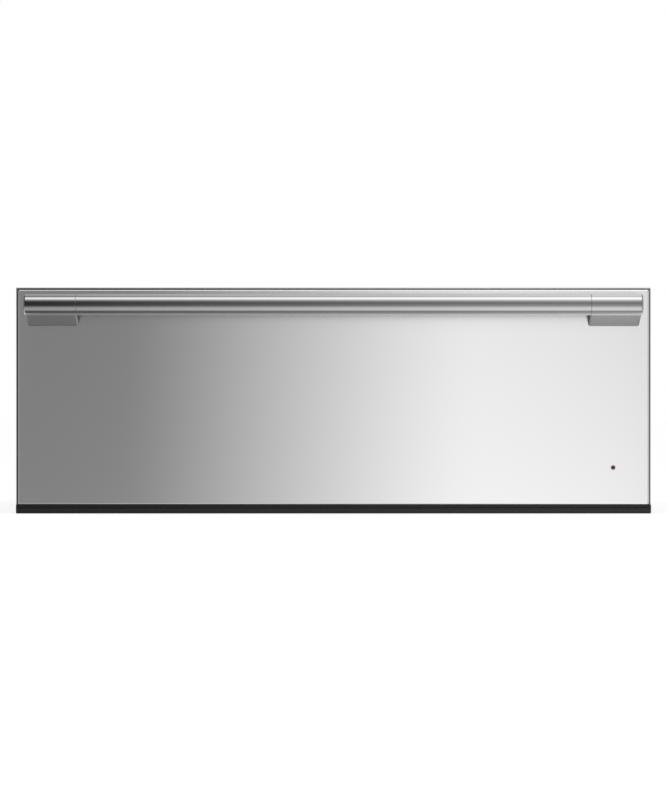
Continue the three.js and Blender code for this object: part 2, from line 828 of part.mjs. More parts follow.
function temperatureProbe() {
  const radius = probeDiameter / 2;
  const nutY = cavityBackY + sheet + fit;
  return turnedY([
    [0, cavityBackY - probeReach],
    [radius * 0.7, cavityBackY - probeReach],
    [radius, cavityBackY - probeReach + radius],
    [radius, nutY],
    [2 * radius, nutY],
    [2 * radius, nutY + radius],
    [radius * 0.8, nutY + radius],
    [radius * 0.8, nutY + 4 * radius],
    [0, nutY + 4 * radius],
  ], probeX, probeZ, 12);
}

/** A snap-disc thermostat on the outside of the cavity's back. */
function thermalCutout() {
  const backY = cavityBackY + sheet + fit;
  const radius = cutoutDiameter / 2;
  const bodyY = backY + 2 * sheet;
  const ears = slot(cutoutX, cutoutZ, 1.9 * cutoutDiameter, 0.8 * cutoutDiameter);
  const flange = prismY(ears, backY, backY + sheet);
  const cap = prismY(disc(cutoutX, cutoutZ, radius, 16), backY, bodyY);
  const body = prismY(disc(cutoutX, cutoutZ, radius * 0.85, 16), bodyY - lap, bodyY + radius);
  const blades = [-1, 1].map((side) => {
    const x = cutoutX + (side * radius) / 2;
    return block(x - bladeSheet / 2, x + bladeSheet / 2, bodyY + radius - lap, bodyY + 2 * radius,
      cutoutZ - bladeWidth / 2, cutoutZ + bladeWidth / 2);
  });
  return join(flange, cap, body, ...blades);
}

/** The relay board stands on the back panel, on four spacers, with its relays towards the cavity. */
function relayBoard() {
  const backY = backPanelY - fit - spacerDiameter;
  const frontFace = backY - boardSheet;
  const half = relayBoardWidth / 2;
  const rise = relayBoardHeight / 2;
  const board = block(relayBoardX - half, relayBoardX + half, frontFace, backY,
    relayBoardZ - rise, relayBoardZ + rise);
  const spacers = [-1, 1].flatMap((side) => [-1, 1].map((level) => prismY(
    disc(relayBoardX + side * (half - spacerDiameter), relayBoardZ + level * (rise - spacerDiameter),
      spacerDiameter / 2, 8), backY - lap, backPanelY - fit)));
  const relayBottom = relayBoardZ + rise - spacerDiameter - 2 * relayHeight + stripDepth;
  const relays = places(relayCount, relayPitch).map((x) => block(
    relayBoardX + x - relayWidth / 2, relayBoardX + x + relayWidth / 2,
    frontFace - relayDepth, frontFace + lap, relayBottom, relayBottom + relayHeight));
  const stripTop = relayBottom - stripHeight;
  const strip = block(relayBoardX - stripWidth / 2, relayBoardX + stripWidth / 2, frontFace - stripDepth,
    frontFace + lap, stripTop - stripHeight, stripTop);
  return join(board, ...spacers, ...relays, strip);
}

function terminalBlock() {
  const baseY = chassisDepth + fit;
  const bottom = inletZ + inletDiameter / 2 + sheet;
  const footY = baseY + 2 * sheet;
  const foot = block(inletX - blockWidth / 2, inletX + blockWidth / 2, baseY, footY,
    bottom, bottom + blockHeight);
  const wayPitch = blockWidth / blockWays;
  const ways = places(blockWays, wayPitch).map((x) => block(
    inletX + x - 0.4 * wayPitch, inletX + x + 0.4 * wayPitch,
    footY - lap, footY + blockDepth, bottom + sheet, bottom + blockHeight - sheet));
  return join(foot, ...ways);
}

function terminalCover() {
  const half = coverWidth / 2;
  const [z0, z1] = [inletZ - coverHeight / 2, inletZ + coverHeight / 2];
  const baseY = chassisDepth + fit;
  const outline = roundedRectangle(inletX - half, inletX + half, z0, z1, coverCorner, 3);
  const shell = prismY(outline, baseY, rearY);
  const hollow = block(inletX - half + sheet, inletX + half - sheet, baseY - past, rearY - sheet,
    z0 + sheet, z1 - sheet);
  const knockout = prismZ(disc(inletX, baseY + coverDepth / 2, inletDiameter / 3, 12),
    z0 - past, z0 + sheet + past);
  const screws = [-1, 1].map((side) => prismY(
    disc(inletX + side * (half - coverScrewInset), z0 + coverScrewInset, frameHole / 2, 8),
    rearY - sheet - past, rearY + past));
  return cut(shell, hollow, knockout, ...screws);
}

// ---- Chassis: hidden controls ----

function controlFascia() {
  const half = fasciaWidth / 2;
  const plate = prismY(roundedRectangle(-half, half, fasciaBottom, fasciaBottom + fasciaHeight, fasciaCorner),
    fasciaFrontY, fasciaBackY);
  const holes = buttonX.map((x) => prismY(disc(x, controlZ, buttonDiameter / 2 + fit, buttonSteps),
    fasciaFrontY - past, fasciaBackY + past));
  return cut(plate, ...holes);
}

/** A cap through the fascia, a collar behind it that holds it in, and a stem down to the switch. */
function pushButton(x) {
  const cap = buttonDiameter / 2;
  const frontEdge = fasciaFrontY - buttonProud;
  const collarY = fasciaBackY + fit;
  return turnedY([
    [0, frontEdge],
    [cap - fit, frontEdge],
    [cap, frontEdge + fit],
    [cap, collarY],
    [buttonCollar / 2, collarY],
    [buttonCollar / 2, collarY + sheet],
    [buttonStem / 2, collarY + sheet],
    [buttonStem / 2, switchY - buttonTravel - fit],
    [0, switchY - buttonTravel - fit],
  ], x, controlZ, buttonSteps);
}

const boardFrontY = switchY + switchReach + 2;

function controlHousing() {
  const half = housingWidth / 2;
  const [z0, z1] = [controlZ - housingHeight / 2, controlZ + housingHeight / 2];
  const frontEdge = landBackY + fit;
  const tray = block(-half, half, frontEdge, frontEdge + housingDepth, z0, z1);
  const hollow = block(housingWall - half, half - housingWall, frontEdge - past,
    frontEdge + housingDepth - housingWall, z0 + housingWall, z1 - housingWall);
  const ears = [-1, 1].map((side) => prismY(
    roundedRectangle(side * half - housingEar, side * half + housingEar, z0, z1, 3, 2),
    frontEdge, frontEdge + 2 * housingWall));
  const harness = prismY(slot(0, controlZ, ventLength, ventWidth),
    frontEdge + housingDepth - housingWall - past, frontEdge + housingDepth + past);
  const ribs = [-1, 1].map((side) => block(
    side * (half - 2 * housingWall) - housingWall / 2, side * (half - 2 * housingWall) + housingWall / 2,
    boardFrontY + boardSheet + fit, frontEdge + housingDepth - lap, z0 + lap, z1 - lap));
  return join(cut(join(tray, ...ears), hollow, harness), ...ribs);
}

function controlBoard() {
  const half = housingWidth / 2 - housingWall - fit;
  const rise = housingHeight / 2 - housingWall - fit;
  const board = block(-half, half, boardFrontY, boardFrontY + boardSheet, controlZ - rise, controlZ + rise);
  const switches = buttonX.flatMap((x) => [
    block(x - switchSize / 2, x + switchSize / 2, switchY + switchReach, boardFrontY + lap,
      controlZ - switchSize / 2, controlZ + switchSize / 2),
    prismY(disc(x, controlZ, switchReach, 10), switchY, switchY + switchReach + lap),
  ]);
  return join(board, ...switches);
}

function indicatorLed() {
  const radius = ledDiameter / 2;
  const flangeY = landBackY + fit;
  const dome = arc(0, flangeY - radius - ledFlange, radius, -90, 0, 3);
  return turnedY([
    ...dome,
    [radius, flangeY],
    [radius + ledFlange, flangeY],
    [radius + ledFlange, flangeY + ledFlange],
    [radius, flangeY + ledFlange],
    [radius, flangeY + ledBody],
    [0, flangeY + ledBody],
  ], lampX, lampZ, 10);
}

// ---- Slides ----
// Each section is drawn in (x, z) for the right side. `inwards` is the distance from the cavity wall.

const fromWall = (inwards) => slideOuterX - inwards;
const middleWeb = sheet + 2 * cageGap + cageWeb;
const innerCageWeb = middleWeb + sheet + cageGap;
const middleEdge = slideWidth - 1.5 * sheet;

/** A rail's channel section: a web at one depth and two flanges of the given half height. */
function channel(webAt, edgeAt, half, lip) {
  const turn = Math.sign(edgeAt - webAt);
  const top = [
    [webAt, half - sheet / 2],
    [edgeAt - (turn * sheet) / 2 * (lip > 0 ? 1 : 0), half - sheet / 2],
    ...(lip > 0 ? [[edgeAt - (turn * sheet) / 2, half - lip]] : []),
  ];
  const path = [...top.map(([inwards, z]) => [inwards, -z]).reverse(), ...top];
  return foldedSheet(path.map(([inwards, z]) => [fromWall(inwards), slideCentre + z]), sheet);
}

function railHoles(y0, y1, inwards) {
  const share = [0.12, 0.5, 0.88];
  return share.map((t) => prismX(disc(y0 + t * (y1 - y0), slideCentre, railHole / 2, 8),
    fromWall(inwards + sheet) - past, fromWall(inwards) + past));
}

function cabinetRail() {
  const rail = prismY(channel(sheet / 2, slideWidth - sheet, railHalf, railLip), slideSetback, slideEndY);
  return cut(rail, ...railHoles(slideSetback, slideEndY, 0));
}

function middleRail() {
  const endY = slideEndY - (slideLength - middleLength) / 2;
  const rail = prismY(channel(middleWeb + sheet / 2, middleEdge, middleHalf, 0), endY - middleLength, endY);
  return cut(rail, ...railHoles(endY - middleLength, endY, middleWeb));
}

function drawerRail() {
  const webAt = slideWidth - sheet / 2;
  const edgeAt = innerCageWeb + cageWeb + sheet;
  const rail = prismY(channel(webAt, edgeAt, drawerRailHalf, 0), slideSetback, slideEndY);
  return cut(rail, ...railHoles(slideSetback, slideEndY, slideWidth - sheet));
}

/** A cage: a thin web with a rib along each race, and the balls that the ribs hold. */
function ballCage(webAt, ballAt, ballZ) {
  const middleY = slideSetback + slideLength / 2;
  const [y0, y1] = [middleY - cageLength / 2, middleY + cageLength / 2];
  const ribEdge = ballAt + ballRadius + cageRib;
  const web = block(fromWall(webAt + cageWeb), fromWall(webAt), y0, y1,
    slideCentre - ballZ, slideCentre + ballZ);
  const ribs = [-1, 1].map((side) => block(fromWall(ribEdge), fromWall(webAt), y0, y1,
    slideCentre + side * ballZ - cageRib / 2, slideCentre + side * ballZ + cageRib / 2));
  const pitch = (cageLength - 8 * ballRadius) / (ballsPerRow - 1);
  const balls = [-1, 1].flatMap((side) => places(ballsPerRow, pitch).map((along) =>
    new THREE.SphereGeometry(ballRadius, 6, 4).translate(
      fromWall(ballAt), middleY + along, slideCentre + side * ballZ)));
  return join(web, ...ribs, ...balls);
}

// ---- Drawer front ----

function frontSkin() {
  const outer = prismY(rectangle(-frontHalf, frontHalf, frontBottom, frontTop), frontY,
    hemBackY + frontBend, frontBend);
  const trimmed = cut(outer, block(-faceHalf, faceHalf, hemBackY, hemBackY + 2 * frontBend, 0, faceHeight));
  const room = block(sheet - frontHalf, frontHalf - sheet, skinBackY, hemBackY - sheet,
    frontBottom + sheet, frontTop - sheet);
  const rearWindow = block(frontHem - frontHalf, frontHalf - frontHem, hemBackY - sheet - past,
    hemBackY + past, frontBottom + frontHem, frontTop - frontHem);
  const lampHole = prismY(disc(lampX, lampZ, lampDiameter / 2 + fit, 16), frontY - past, skinBackY + past);
  const boltHoles = [-1, 1].flatMap((side) => boltPlaces().map((x) => prismY(
    disc(side * x, boltZ, boltDiameter / 2 + fit, 10), frontY - past, skinBackY + past)));
  const middleY = (skinBackY + hemBackY - sheet) / 2;
  const outlets = places(airSlotCount, airSlotPitch).map((x) => prismZ(
    slot(x, middleY, ventLength, ventWidth), frontBottom - past, frontBottom + sheet + past));
  return cut(trimmed, room, rearWindow, lampHole, ...boltHoles, ...outlets);
}

function boltPlaces() {
  return [mountMiddleX - boltSpacing / 2, mountMiddleX + boltSpacing / 2];
}

const linerHalf = frontHalf - linerMargin;
const linerBottom = frontBottom + linerMargin;
const linerTop = frontTop - linerMargin;

function frontLiner() {
  const plate = prismY(roundedRectangle(-linerHalf, linerHalf, linerBottom, linerTop, openingCorner, 2),
    linerFrontY, linerBackY);
  const through = (shape) => prismY(shape, linerFrontY - past, linerBackY + past);
  const vents = places(ventCount, ventPitch).map((x) => through(
    slot(x, ventZ, ventSlotLength, ventSlotHeight)));
  const guideHole = through(disc(lampX, lampZ, lampDiameter / 2 + fit, 12));
  return cut(plate, ...vents, guideHole);
}

function frontInsulation() {
  const backEdge = hemBackY - sheet - fit;
  const half = frontHalf - frontHem - sheet;
  const outline = roundedRectangle(-half, half, frontBottom + frontHem, frontTop - frontHem, boardCorner, 2);
  const board = prismY(outline, backEdge - frontBoard, backEdge);
  const ventWay = prismY(slot(0, ventZ, 2 * ventPlateHalf, 2 * ventSlotHeight),
    backEdge - frontBoard - past, backEdge + past);
  const lampWay = prismY(disc(lampX, lampZ, guideCollar / 2 + fit, 12),
    backEdge - frontBoard - past, backEdge + past);
  return cut(board, ventWay, lampWay);
}

/** The light guide: a lens in the skin, a collar behind it, and a rod back to the LED on the frame. */
function lightGuide() {
  const radius = lampDiameter / 2;
  const collarY = skinBackY + fit;
  const dome = frontY - fit;
  return turnedY([
    [0, dome],
    [radius * 0.6, dome + 0.1],
    [radius, dome + 2 * fit],
    [radius, collarY],
    [guideCollar / 2, collarY],
    [guideCollar / 2, collarY + sheet],
    [radius, collarY + sheet],
    [radius, linerBackY - fit],
    [0, linerBackY - fit],
  ], lampX, lampZ, 12);
}

// ---- Handle ----

function handleBar() {
  const bore = barRadius - barWall;
  const half = mountInnerX - fit;
  return turnedX([
    [bore, -half],
    [barRadius - mountInnerEdge / 2, -half],
    [barRadius, mountInnerEdge / 2 - half],
    [barRadius, half - mountInnerEdge / 2],
    [barRadius - mountInnerEdge / 2, half],
    [bore, half],
    [bore, -half],
  ], barY, barZ, roundSteps);
}

/** The bar's end piece: a round body, a spigot in the bar's bore and a neck back to the front. */
function handleMount() {
  const spigot = barRadius - barWall - fit;
  const innerX = mountInnerX;
  const body = turnedX([
    [0, innerX - spigotLength],
    [spigot, innerX - spigotLength],
    [spigot, innerX],
    [barRadius - mountInnerEdge / 2, innerX],
    [barRadius, innerX + mountInnerEdge / 2],
    ...arc(handleHalf - mountOuterEdge, barRadius - mountOuterEdge, mountOuterEdge, 90, 0, 3)
      .map(([x, radius]) => [radius, x]),
    [0, handleHalf],
  ], barY, barZ, roundSteps);
  const steps = 5;
  const neckTop = barZ + neckRise;
  const rings = Array.from({ length: steps + 1 }, (_, i) => {
    const t = i / steps;
    const y = mountBackY + t * (barY - mountBackY);
    const bottom = barZ - barRadius * 0.94 - (neckDrop - barRadius * 0.94) * (1 - t) ** 1.6;
    const section = roundedPoints(innerX, handleHalf - fit, bottom, neckTop, neckCorner, 2);
    return section.map(([x, z]) => [x, y, z]);
  });
  const boltHoles = boltPlaces().map((x) => prismY(
    disc(x, boltZ, boltDiameter / 2 + fit, 10), mountBackY - boltReach - fit, mountBackY + past));
  return cut(join(body, skinned(rings)), ...boltHoles);
}

/** A pan-head screw from inside the front into the mount. */
function handleBolt(x) {
  const headY = skinBackY + fit;
  const head = boltHead / 2;
  const shank = boltDiameter / 2;
  return turnedY([
    [0, mountBackY - boltReach],
    [shank, mountBackY - boltReach],
    [shank, headY],
    [head, headY],
    [head, headY + boltHeadDepth * 0.4],
    [head * 0.6, headY + boltHeadDepth],
    [0, headY + boltHeadDepth],
  ], x, boltZ, 10);
}

// ---- Drawer box ----

function boxSide() {
  const wallX = boxHalf - sheet / 2;
  const topZ = boxTop - sheet / 2;
  const folded = foldedSheet([
    [wallX - panelFlange, boxBottom + sheet / 2], [wallX, boxBottom + sheet / 2],
    [wallX, topZ], [boxInner - boxLedge, topZ],
  ], sheet);
  const side = prismY(folded, boxFrontY, boxBackY - sheet - fit);
  const tabTop = ventPlateBottom - guideWidth - fit;
  const frontTab = block(boxInner - panelFlange, boxHalf, boxFrontY, boxFrontY + sheet, boxBottom,
    Math.min(boxTop, tabTop));
  const holes = [0.3, 0.55, 0.8].map((t) => prismY(
    disc(boxInner - panelFlange / 2, boxBottom + t * boxHeight, railHole / 2, 8), boxFrontY - past,
    boxFrontY + sheet + past));
  return cut(join(side, frontTab), ...holes);
}

function drawerBack() {
  const wallY = boxBackY - sheet / 2;
  const topZ = boxTop - sheet / 2;
  const half = boxInner - fit;
  const ledgeHalf = half - boxLedge;
  const ledgeY = panBack + panGap + sheet / 2;
  const wall = block(-boxHalf, boxHalf, boxBackY - sheet, boxBackY, boxBottom, boxTop);
  const folded = foldedSheet([[wallY, topZ], [ledgeY, topZ], [ledgeY, topZ - backLedgeLip]], sheet);
  const ledge = prismX(folded, -ledgeHalf, ledgeHalf);
  const bead = prismX(slot(boxBackY, boxBottom + 0.5 * boxHeight, 2 * ribDepth, ribWidth),
    -0.7 * half, 0.7 * half);
  return join(wall, ledge, bead);
}

/** The pan's outline at a given distance inside its body at rim height. */
function panOutline(inset, steps = 4) {
  return roundedPoints(inset - panHalf, panHalf - inset, panFront + inset, panBack - inset,
    panCorner - inset, steps);
}

/** A deep-drawn tub: drafted walls, a bend round the floor, and an outer or inner surface by offset. */
function panBody(offset, top) {
  const bend = panFloorBend - offset;
  const floor = panFloorZ + offset;
  const levels = [
    ...arc(0, 0, bend, 270, 360, 3).map(([u, v]) => [panDraft + bend + offset - u, floor + bend + v]),
    [offset, top],
  ];
  return skinned(levels.map(([inset, z]) => panOutline(inset).map(([x, y]) => [x, y, z])));
}

function warmingPan() {
  const rimTop = panRimZ + panSheet;
  const rim = prismZ(roundedRectangle(-panHalf - panRim, panHalf + panRim, panFront - panRim,
    panBack + panRim, panCorner + panRim, 4), panRimZ, rimTop);
  const tub = panBody(0, panRimZ + lap);
  return cut(join(rim, tub), panBody(panSheet, rimTop + past));
}

function wireRack() {
  const z = panFloorZ + panSheet + rackRise;
  const inset = panDraft + rackMargin;
  const half = panHalf - inset;
  const [y0, y1] = [panFront + inset, panBack - inset];
  const corner = panCorner - rackMargin;
  const radius = rackWire / 2;
  const frameRadius = rackFrameWire / 2;
  const outline = roundedPoints(-half, half, y0, y1, corner, 3);
  const frame = ringRod(outline, z, frameRadius, 6);
  const count = Math.floor((2 * half - rackPitch) / rackPitch);
  const wires = places(count, rackPitch).map((x) =>
    prismY(disc(x, z + radius, radius, 5), y0 - frameRadius / 2, y1 + frameRadius / 2));
  const stays = [0.25, 0.5, 0.75].map((t) =>
    prismX(disc(y0 + t * (y1 - y0), z - radius, radius, 6), -half - frameRadius / 2, half + frameRadius / 2));
  const feet = [-1, 1].flatMap((side) => [0.25, 0.75].map((t) => prismZ(
    disc(side * (half - frameRadius), y0 + t * (y1 - y0), frameRadius, 6), panFloorZ + panSheet + fit, z)));
  return join(frame, ...wires, ...stays, ...feet);
}

/** A round rod bent into a closed level ring. */
function ringRod(outline, z, radius, sides) {
  const count = outline.length;
  const section = arc(0, 0, radius, 0, 360, sides).slice(0, -1);
  const positions = outline.flatMap(([x, y], i) => {
    const [nx, ny] = unitNormal(outline[(i + count - 1) % count], outline[(i + 1) % count]);
    return section.flatMap(([u, v]) => [x + u * nx, y + u * ny, z + v]);
  });
  const index = [];
  for (let i = 0; i < count; i++) {
    for (let s = 0; s < sides; s++) {
      const [a, b] = [i * sides + s, i * sides + ((s + 1) % sides)];
      const [c, d] = [((i + 1) % count) * sides + s, ((i + 1) % count) * sides + ((s + 1) % sides)];
      index.push(a, b, d, a, d, c);
    }
  }
  const geometry = new THREE.BufferGeometry();
  geometry.setAttribute('position', new THREE.Float32BufferAttribute(positions, 3));
  geometry.setIndex(index);
  return geometry;
}

// ---- Moisture slide ----

function moistureSlide() {
  const plate = block(-ventPlateHalf, ventPlateHalf, ventPlateY, ventPlateY + sheet,
    ventPlateBottom, ventPlateTop);
  const slots = places(ventCount, ventPitch).map((x) => prismY(
    slot(x, ventZ, ventSlotLength, ventSlotHeight), ventPlateY - past, ventPlateY + sheet + past));
  const tabX = ventPitch / 2;
  const tabHalf = ventTabWidth / 2;
  const tabEndY = ventPlateY + sheet + ventTab;
  const tab = prismZ(roundedRectangle(tabX - tabHalf, tabX + tabHalf, ventPlateY, tabEndY, tabHalf / 2, 2),
    ventPlateBottom + ventTabWidth, ventPlateTop - ventTabWidth);
  return join(cut(plate, ...slots), tab);
}

/** A frame round the moisture slide, with a lip over its top and bottom edge. */
function moistureGuide() {
  const room = ventPlateHalf + ventTravel + fit;
  const [z0, z1] = [ventPlateBottom - fit, ventPlateTop + fit];
  const outerHalf = ventPlateHalf + ventTravel + guideWidth;
  const body = block(-outerHalf, outerHalf, ventPlateY, ventPlateY + 2 * sheet + fit,
    z0 - guideWidth, z1 + guideWidth);
  const channelRoom = block(-ventPlateHalf - fit, room, ventPlateY - past, ventPlateY + sheet + fit, z0, z1);
  const window = block(-ventPlateHalf - fit, room, ventPlateY, ventPlateY + 4 * sheet, z0 + 2 * fit + sheet,
    z1 - 2 * fit - sheet);
  return cut(body, channelRoom, window);
}

// ------------------------------------------------------------------------------------------------
// Put together
// ------------------------------------------------------------------------------------------------

addPiece('base_pan', basePan(), galvanised);
addPair('side_panel', sidePanel(), galvanised);
addPiece('back_panel', backPanel(), galvanised);
addPiece('top_cover', topCover(), galvanised);
addPiece('face_frame', faceFrame(), brushedStainless);
addPiece('drawer_seal', drawerSeal(), sealGrey);
addPiece('vent_trim', ventTrim(), blackTrim);

addPiece('cavity_liner', cavityLiner(), aluminised);
addPiece('cavity_back', cavityBack(), aluminised);
addPiece('floor_insulation',
  insulationBoard(cavityHalf - fit, boardStart, cavityBackY - reflectorMargin, floorTop + fit, floorBoard),
  mineralBoard);
addPiece('roof_insulation',
  insulationBoard(cavityHalf, boardStart, cavityBackY - reflectorMargin, cavityRoof + sheet + fit, roofBoard),
  mineralBoard);
addPiece('heat_reflector', heatReflector(), aluminised);
addPiece('heating_element', heatingElement(), elementSheath);
addPair('element_support', elementSupport(), aluminised);
addPiece('temperature_probe', temperatureProbe(), polishedStainless);
addPiece('thermal_cutout', thermalCutout(), blackMoulding);
addPiece('relay_board', relayBoard(), boardGreen);
addPiece('terminal_block', terminalBlock(), whiteMoulding);
addPiece('terminal_cover', terminalCover(), galvanised);

addPiece('control_fascia', controlFascia(), blackFascia);
addPiece('control_housing', controlHousing(), blackMoulding);
addPiece('control_board', controlBoard(), boardGreen);
['power', 'mode', 'minus', 'plus', 'timer'].forEach((use, i) => {
  addPiece(`${use}_button`, pushButton(buttonX[i]), buttonGrey);
});
addPiece('indicator_led', indicatorLed(), lampRed);

addPair('cabinet_rail', cabinetRail(), zincPlate);
addPair('outer_cage', ballCage(sheet + cageGap, sheet + cageGap + 2 * ballRadius, outerBallZ), zincPlate);
addPair('middle_rail', middleRail(), zincPlate);
addPair('inner_cage', ballCage(innerCageWeb, innerCageWeb + 2 * ballRadius, innerBallZ), zincPlate);
addPair('drawer_rail', drawerRail(), zincPlate);

addPiece('front_skin', frontSkin(), brushedStainless);
addPiece('front_liner', frontLiner(), aluminised);
addPiece('front_insulation', frontInsulation(), mineralBoard);
addPiece('light_guide', lightGuide(), lampRed);
addPiece('handle_bar', handleBar(), brushedStainless);
addPair('handle_mount', handleMount(), brushedStainless);
for (const [where, x] of [['inner', boltPlaces()[0]], ['outer', boltPlaces()[1]]]) {
  addPair(`${where}_handle_bolt`, handleBolt(x), zincPlate);
}

addPair('drawer_side', boxSide(), polishedStainless);
addPiece('drawer_back', drawerBack(), polishedStainless);
addPiece('warming_pan', warmingPan(), polishedStainless);
addPiece('wire_rack', wireRack(), polishedStainless);
addPiece('moisture_guide', moistureGuide(), blackMoulding);
addPiece('moisture_slide', moistureSlide(), polishedStainless);

export default assembly;
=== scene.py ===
"""Dresses a built-in warming drawer: a brushed stainless front with a round bar handle, and the folded
steel chassis, ball-bearing slides, lift-out pan and hidden controls behind it.

Metres, +Z up; the user stands on the -Y side. Places come from the boxes of the frame's own nodes, and
sizes that no box gives are named values in each class.
"""
import json
import logging
import math
from collections.abc import Sequence
from dataclasses import dataclass
from enum import Enum
from typing import Any

import bmesh
import bpy
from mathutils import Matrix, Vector


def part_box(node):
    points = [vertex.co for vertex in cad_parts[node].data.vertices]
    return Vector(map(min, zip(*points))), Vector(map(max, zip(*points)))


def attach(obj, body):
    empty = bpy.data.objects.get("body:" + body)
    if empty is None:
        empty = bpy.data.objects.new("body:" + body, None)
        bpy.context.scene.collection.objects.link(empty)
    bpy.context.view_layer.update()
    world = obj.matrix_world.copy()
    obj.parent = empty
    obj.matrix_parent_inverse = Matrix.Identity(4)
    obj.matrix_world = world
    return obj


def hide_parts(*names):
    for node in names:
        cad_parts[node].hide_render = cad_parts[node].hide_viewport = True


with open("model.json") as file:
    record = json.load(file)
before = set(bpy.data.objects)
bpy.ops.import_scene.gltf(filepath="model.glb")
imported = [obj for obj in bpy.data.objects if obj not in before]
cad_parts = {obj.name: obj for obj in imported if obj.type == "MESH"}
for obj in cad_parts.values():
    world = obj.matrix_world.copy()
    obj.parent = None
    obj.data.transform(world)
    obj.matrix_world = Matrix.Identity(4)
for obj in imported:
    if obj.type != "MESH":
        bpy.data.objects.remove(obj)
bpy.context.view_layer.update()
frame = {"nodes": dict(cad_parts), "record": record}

LOG = logging.getLogger("warming_drawer")
MM = 0.001

Pair = tuple[float, float]
Point = tuple[float, float, float]
Ring = list[Point]
Faces = list[tuple[int, ...]]
Piece = bpy.types.Object
Node = bpy.types.Node
Socket = bpy.types.NodeSocket
Tree = bpy.types.NodeTree


# ---------------------------------------------------------------------------------------------------
# Outlines
# ---------------------------------------------------------------------------------------------------


def arc(centre: Pair, radius: float, start: float, stop: float, steps: int) -> list[Pair]:
    """Gives points along an arc, both ends included.

    Args:
        centre: The arc's centre.
        radius: Its radius.
        start: The first angle, in degrees.
        stop: The last angle, in degrees.
        steps: How many chords the arc is drawn with.

    Returns:
        The points in order.
    """
    angles = [math.radians(start + (stop - start) * i / steps) for i in range(steps + 1)]
    return [(centre[0] + radius * math.cos(a), centre[1] + radius * math.sin(a)) for a in angles]


@dataclass(frozen=True)
class Rect:
    """A rectangle between two corners, in any two axes."""

    u0: float
    u1: float
    v0: float
    v1: float

    def inset(self, by: float) -> "Rect":
        """Gives the rectangle that lies this far inside, or outside where the distance is negative."""
        return Rect(self.u0 + by, self.u1 - by, self.v0 + by, self.v1 - by)

    def rounded(self, radius: float, steps: int = 6) -> list[Pair]:
        """Gives the outline with its corners rounded.

        Args:
            radius: The corner radius.
            steps: How many chords each corner is drawn with.

        Returns:
            The outline's points, counter-clockwise from the upper right corner.
        """
        corners = ((self.u1, self.v1), (self.u0, self.v1), (self.u0, self.v0), (self.u1, self.v0))
        points: list[Pair] = []
        for quarter, (u, v) in enumerate(corners):
            centre_u = u + (radius if quarter in (1, 2) else -radius)
            centre_v = v + (radius if quarter > 1 else -radius)
            points += arc((centre_u, centre_v), radius, 90 * quarter, 90 * quarter + 90, steps)
        return points


def flanged(tip: Sequence[Pair], flange: float, place: Pair, shank: float, end: float) -> list[Pair]:
    """Gives the profile of a turned part with a flange round it.

    Args:
        tip: (radius, along) pairs from the axis to the part's side.
        flange: The flange's radius.
        place: Where along the part the flange begins and ends.
        shank: The radius past the flange.
        end: Where the part ends.

    Returns:
        The profile as (radius, along) pairs, from the axis to the axis.
    """
    start, stop = place
    neck = [(tip[-1][0], start), (flange, start), (flange, stop), (shank, stop)]
    return [*tip, *neck, (shank, end), (0.0, end)]


def upright(outline: Sequence[Pair], y: float) -> Ring:
    """Stands an (x, z) outline up at a depth y."""
    return [(u, y, v) for u, v in outline]


def level(outline: Sequence[Pair], z: float) -> Ring:
    """Lays an (x, y) outline down at a height z."""
    return [(u, v, z) for u, v in outline]


# ---------------------------------------------------------------------------------------------------
# Nodes and finishes
# ---------------------------------------------------------------------------------------------------


def linear(hex_colour: str) -> tuple[float, float, float, float]:
    """Turns an sRGB hex colour into the linear colour that a shader socket holds.

    Args:
        hex_colour: Six hex digits.

    Returns:
        Red, green, blue and a full alpha.
    """
    levels = [int(hex_colour[i : i + 2], 16) / 255 for i in (0, 2, 4)]
    red, green, blue = (c / 12.92 if c <= 0.04045 else ((c + 0.055) / 1.055) ** 2.4 for c in levels)
    return red, green, blue, 1.0


def add_node(tree: Tree, kind: str, inputs: dict[str | int, Any] | None = None, **settings: Any) -> Node:
    """Adds one node with its settings and links.

    Args:
        tree: The shader or geometry tree.
        kind: The node's type name.
        inputs: For each input, by name or number, the value it holds, the socket it takes, or the node whose
            first output it takes. A list holds several, for an input that joins them.
        **settings: Properties to set on the node.

    Returns:
        The node.
    """
    node = tree.nodes.new(kind)
    for name, value in settings.items():
        setattr(node, name, value)
    for name, value in (inputs or {}).items():
        for given in value if isinstance(value, list) else [value]:
            source = given.outputs[0] if isinstance(given, Node) else given
            if isinstance(source, Socket):
                tree.links.new(source, node.inputs[name])
            else:
                node.inputs[name].default_value = source
    return node


# The colour sockets of a Mix node set to RGBA.
MIX_FACTOR, MIX_A, MIX_B, MIX_RESULT = 0, 6, 7, 2
# The range that most of a noise's values lie in.
NOISE_LOW, NOISE_HIGH = 0.3, 0.7


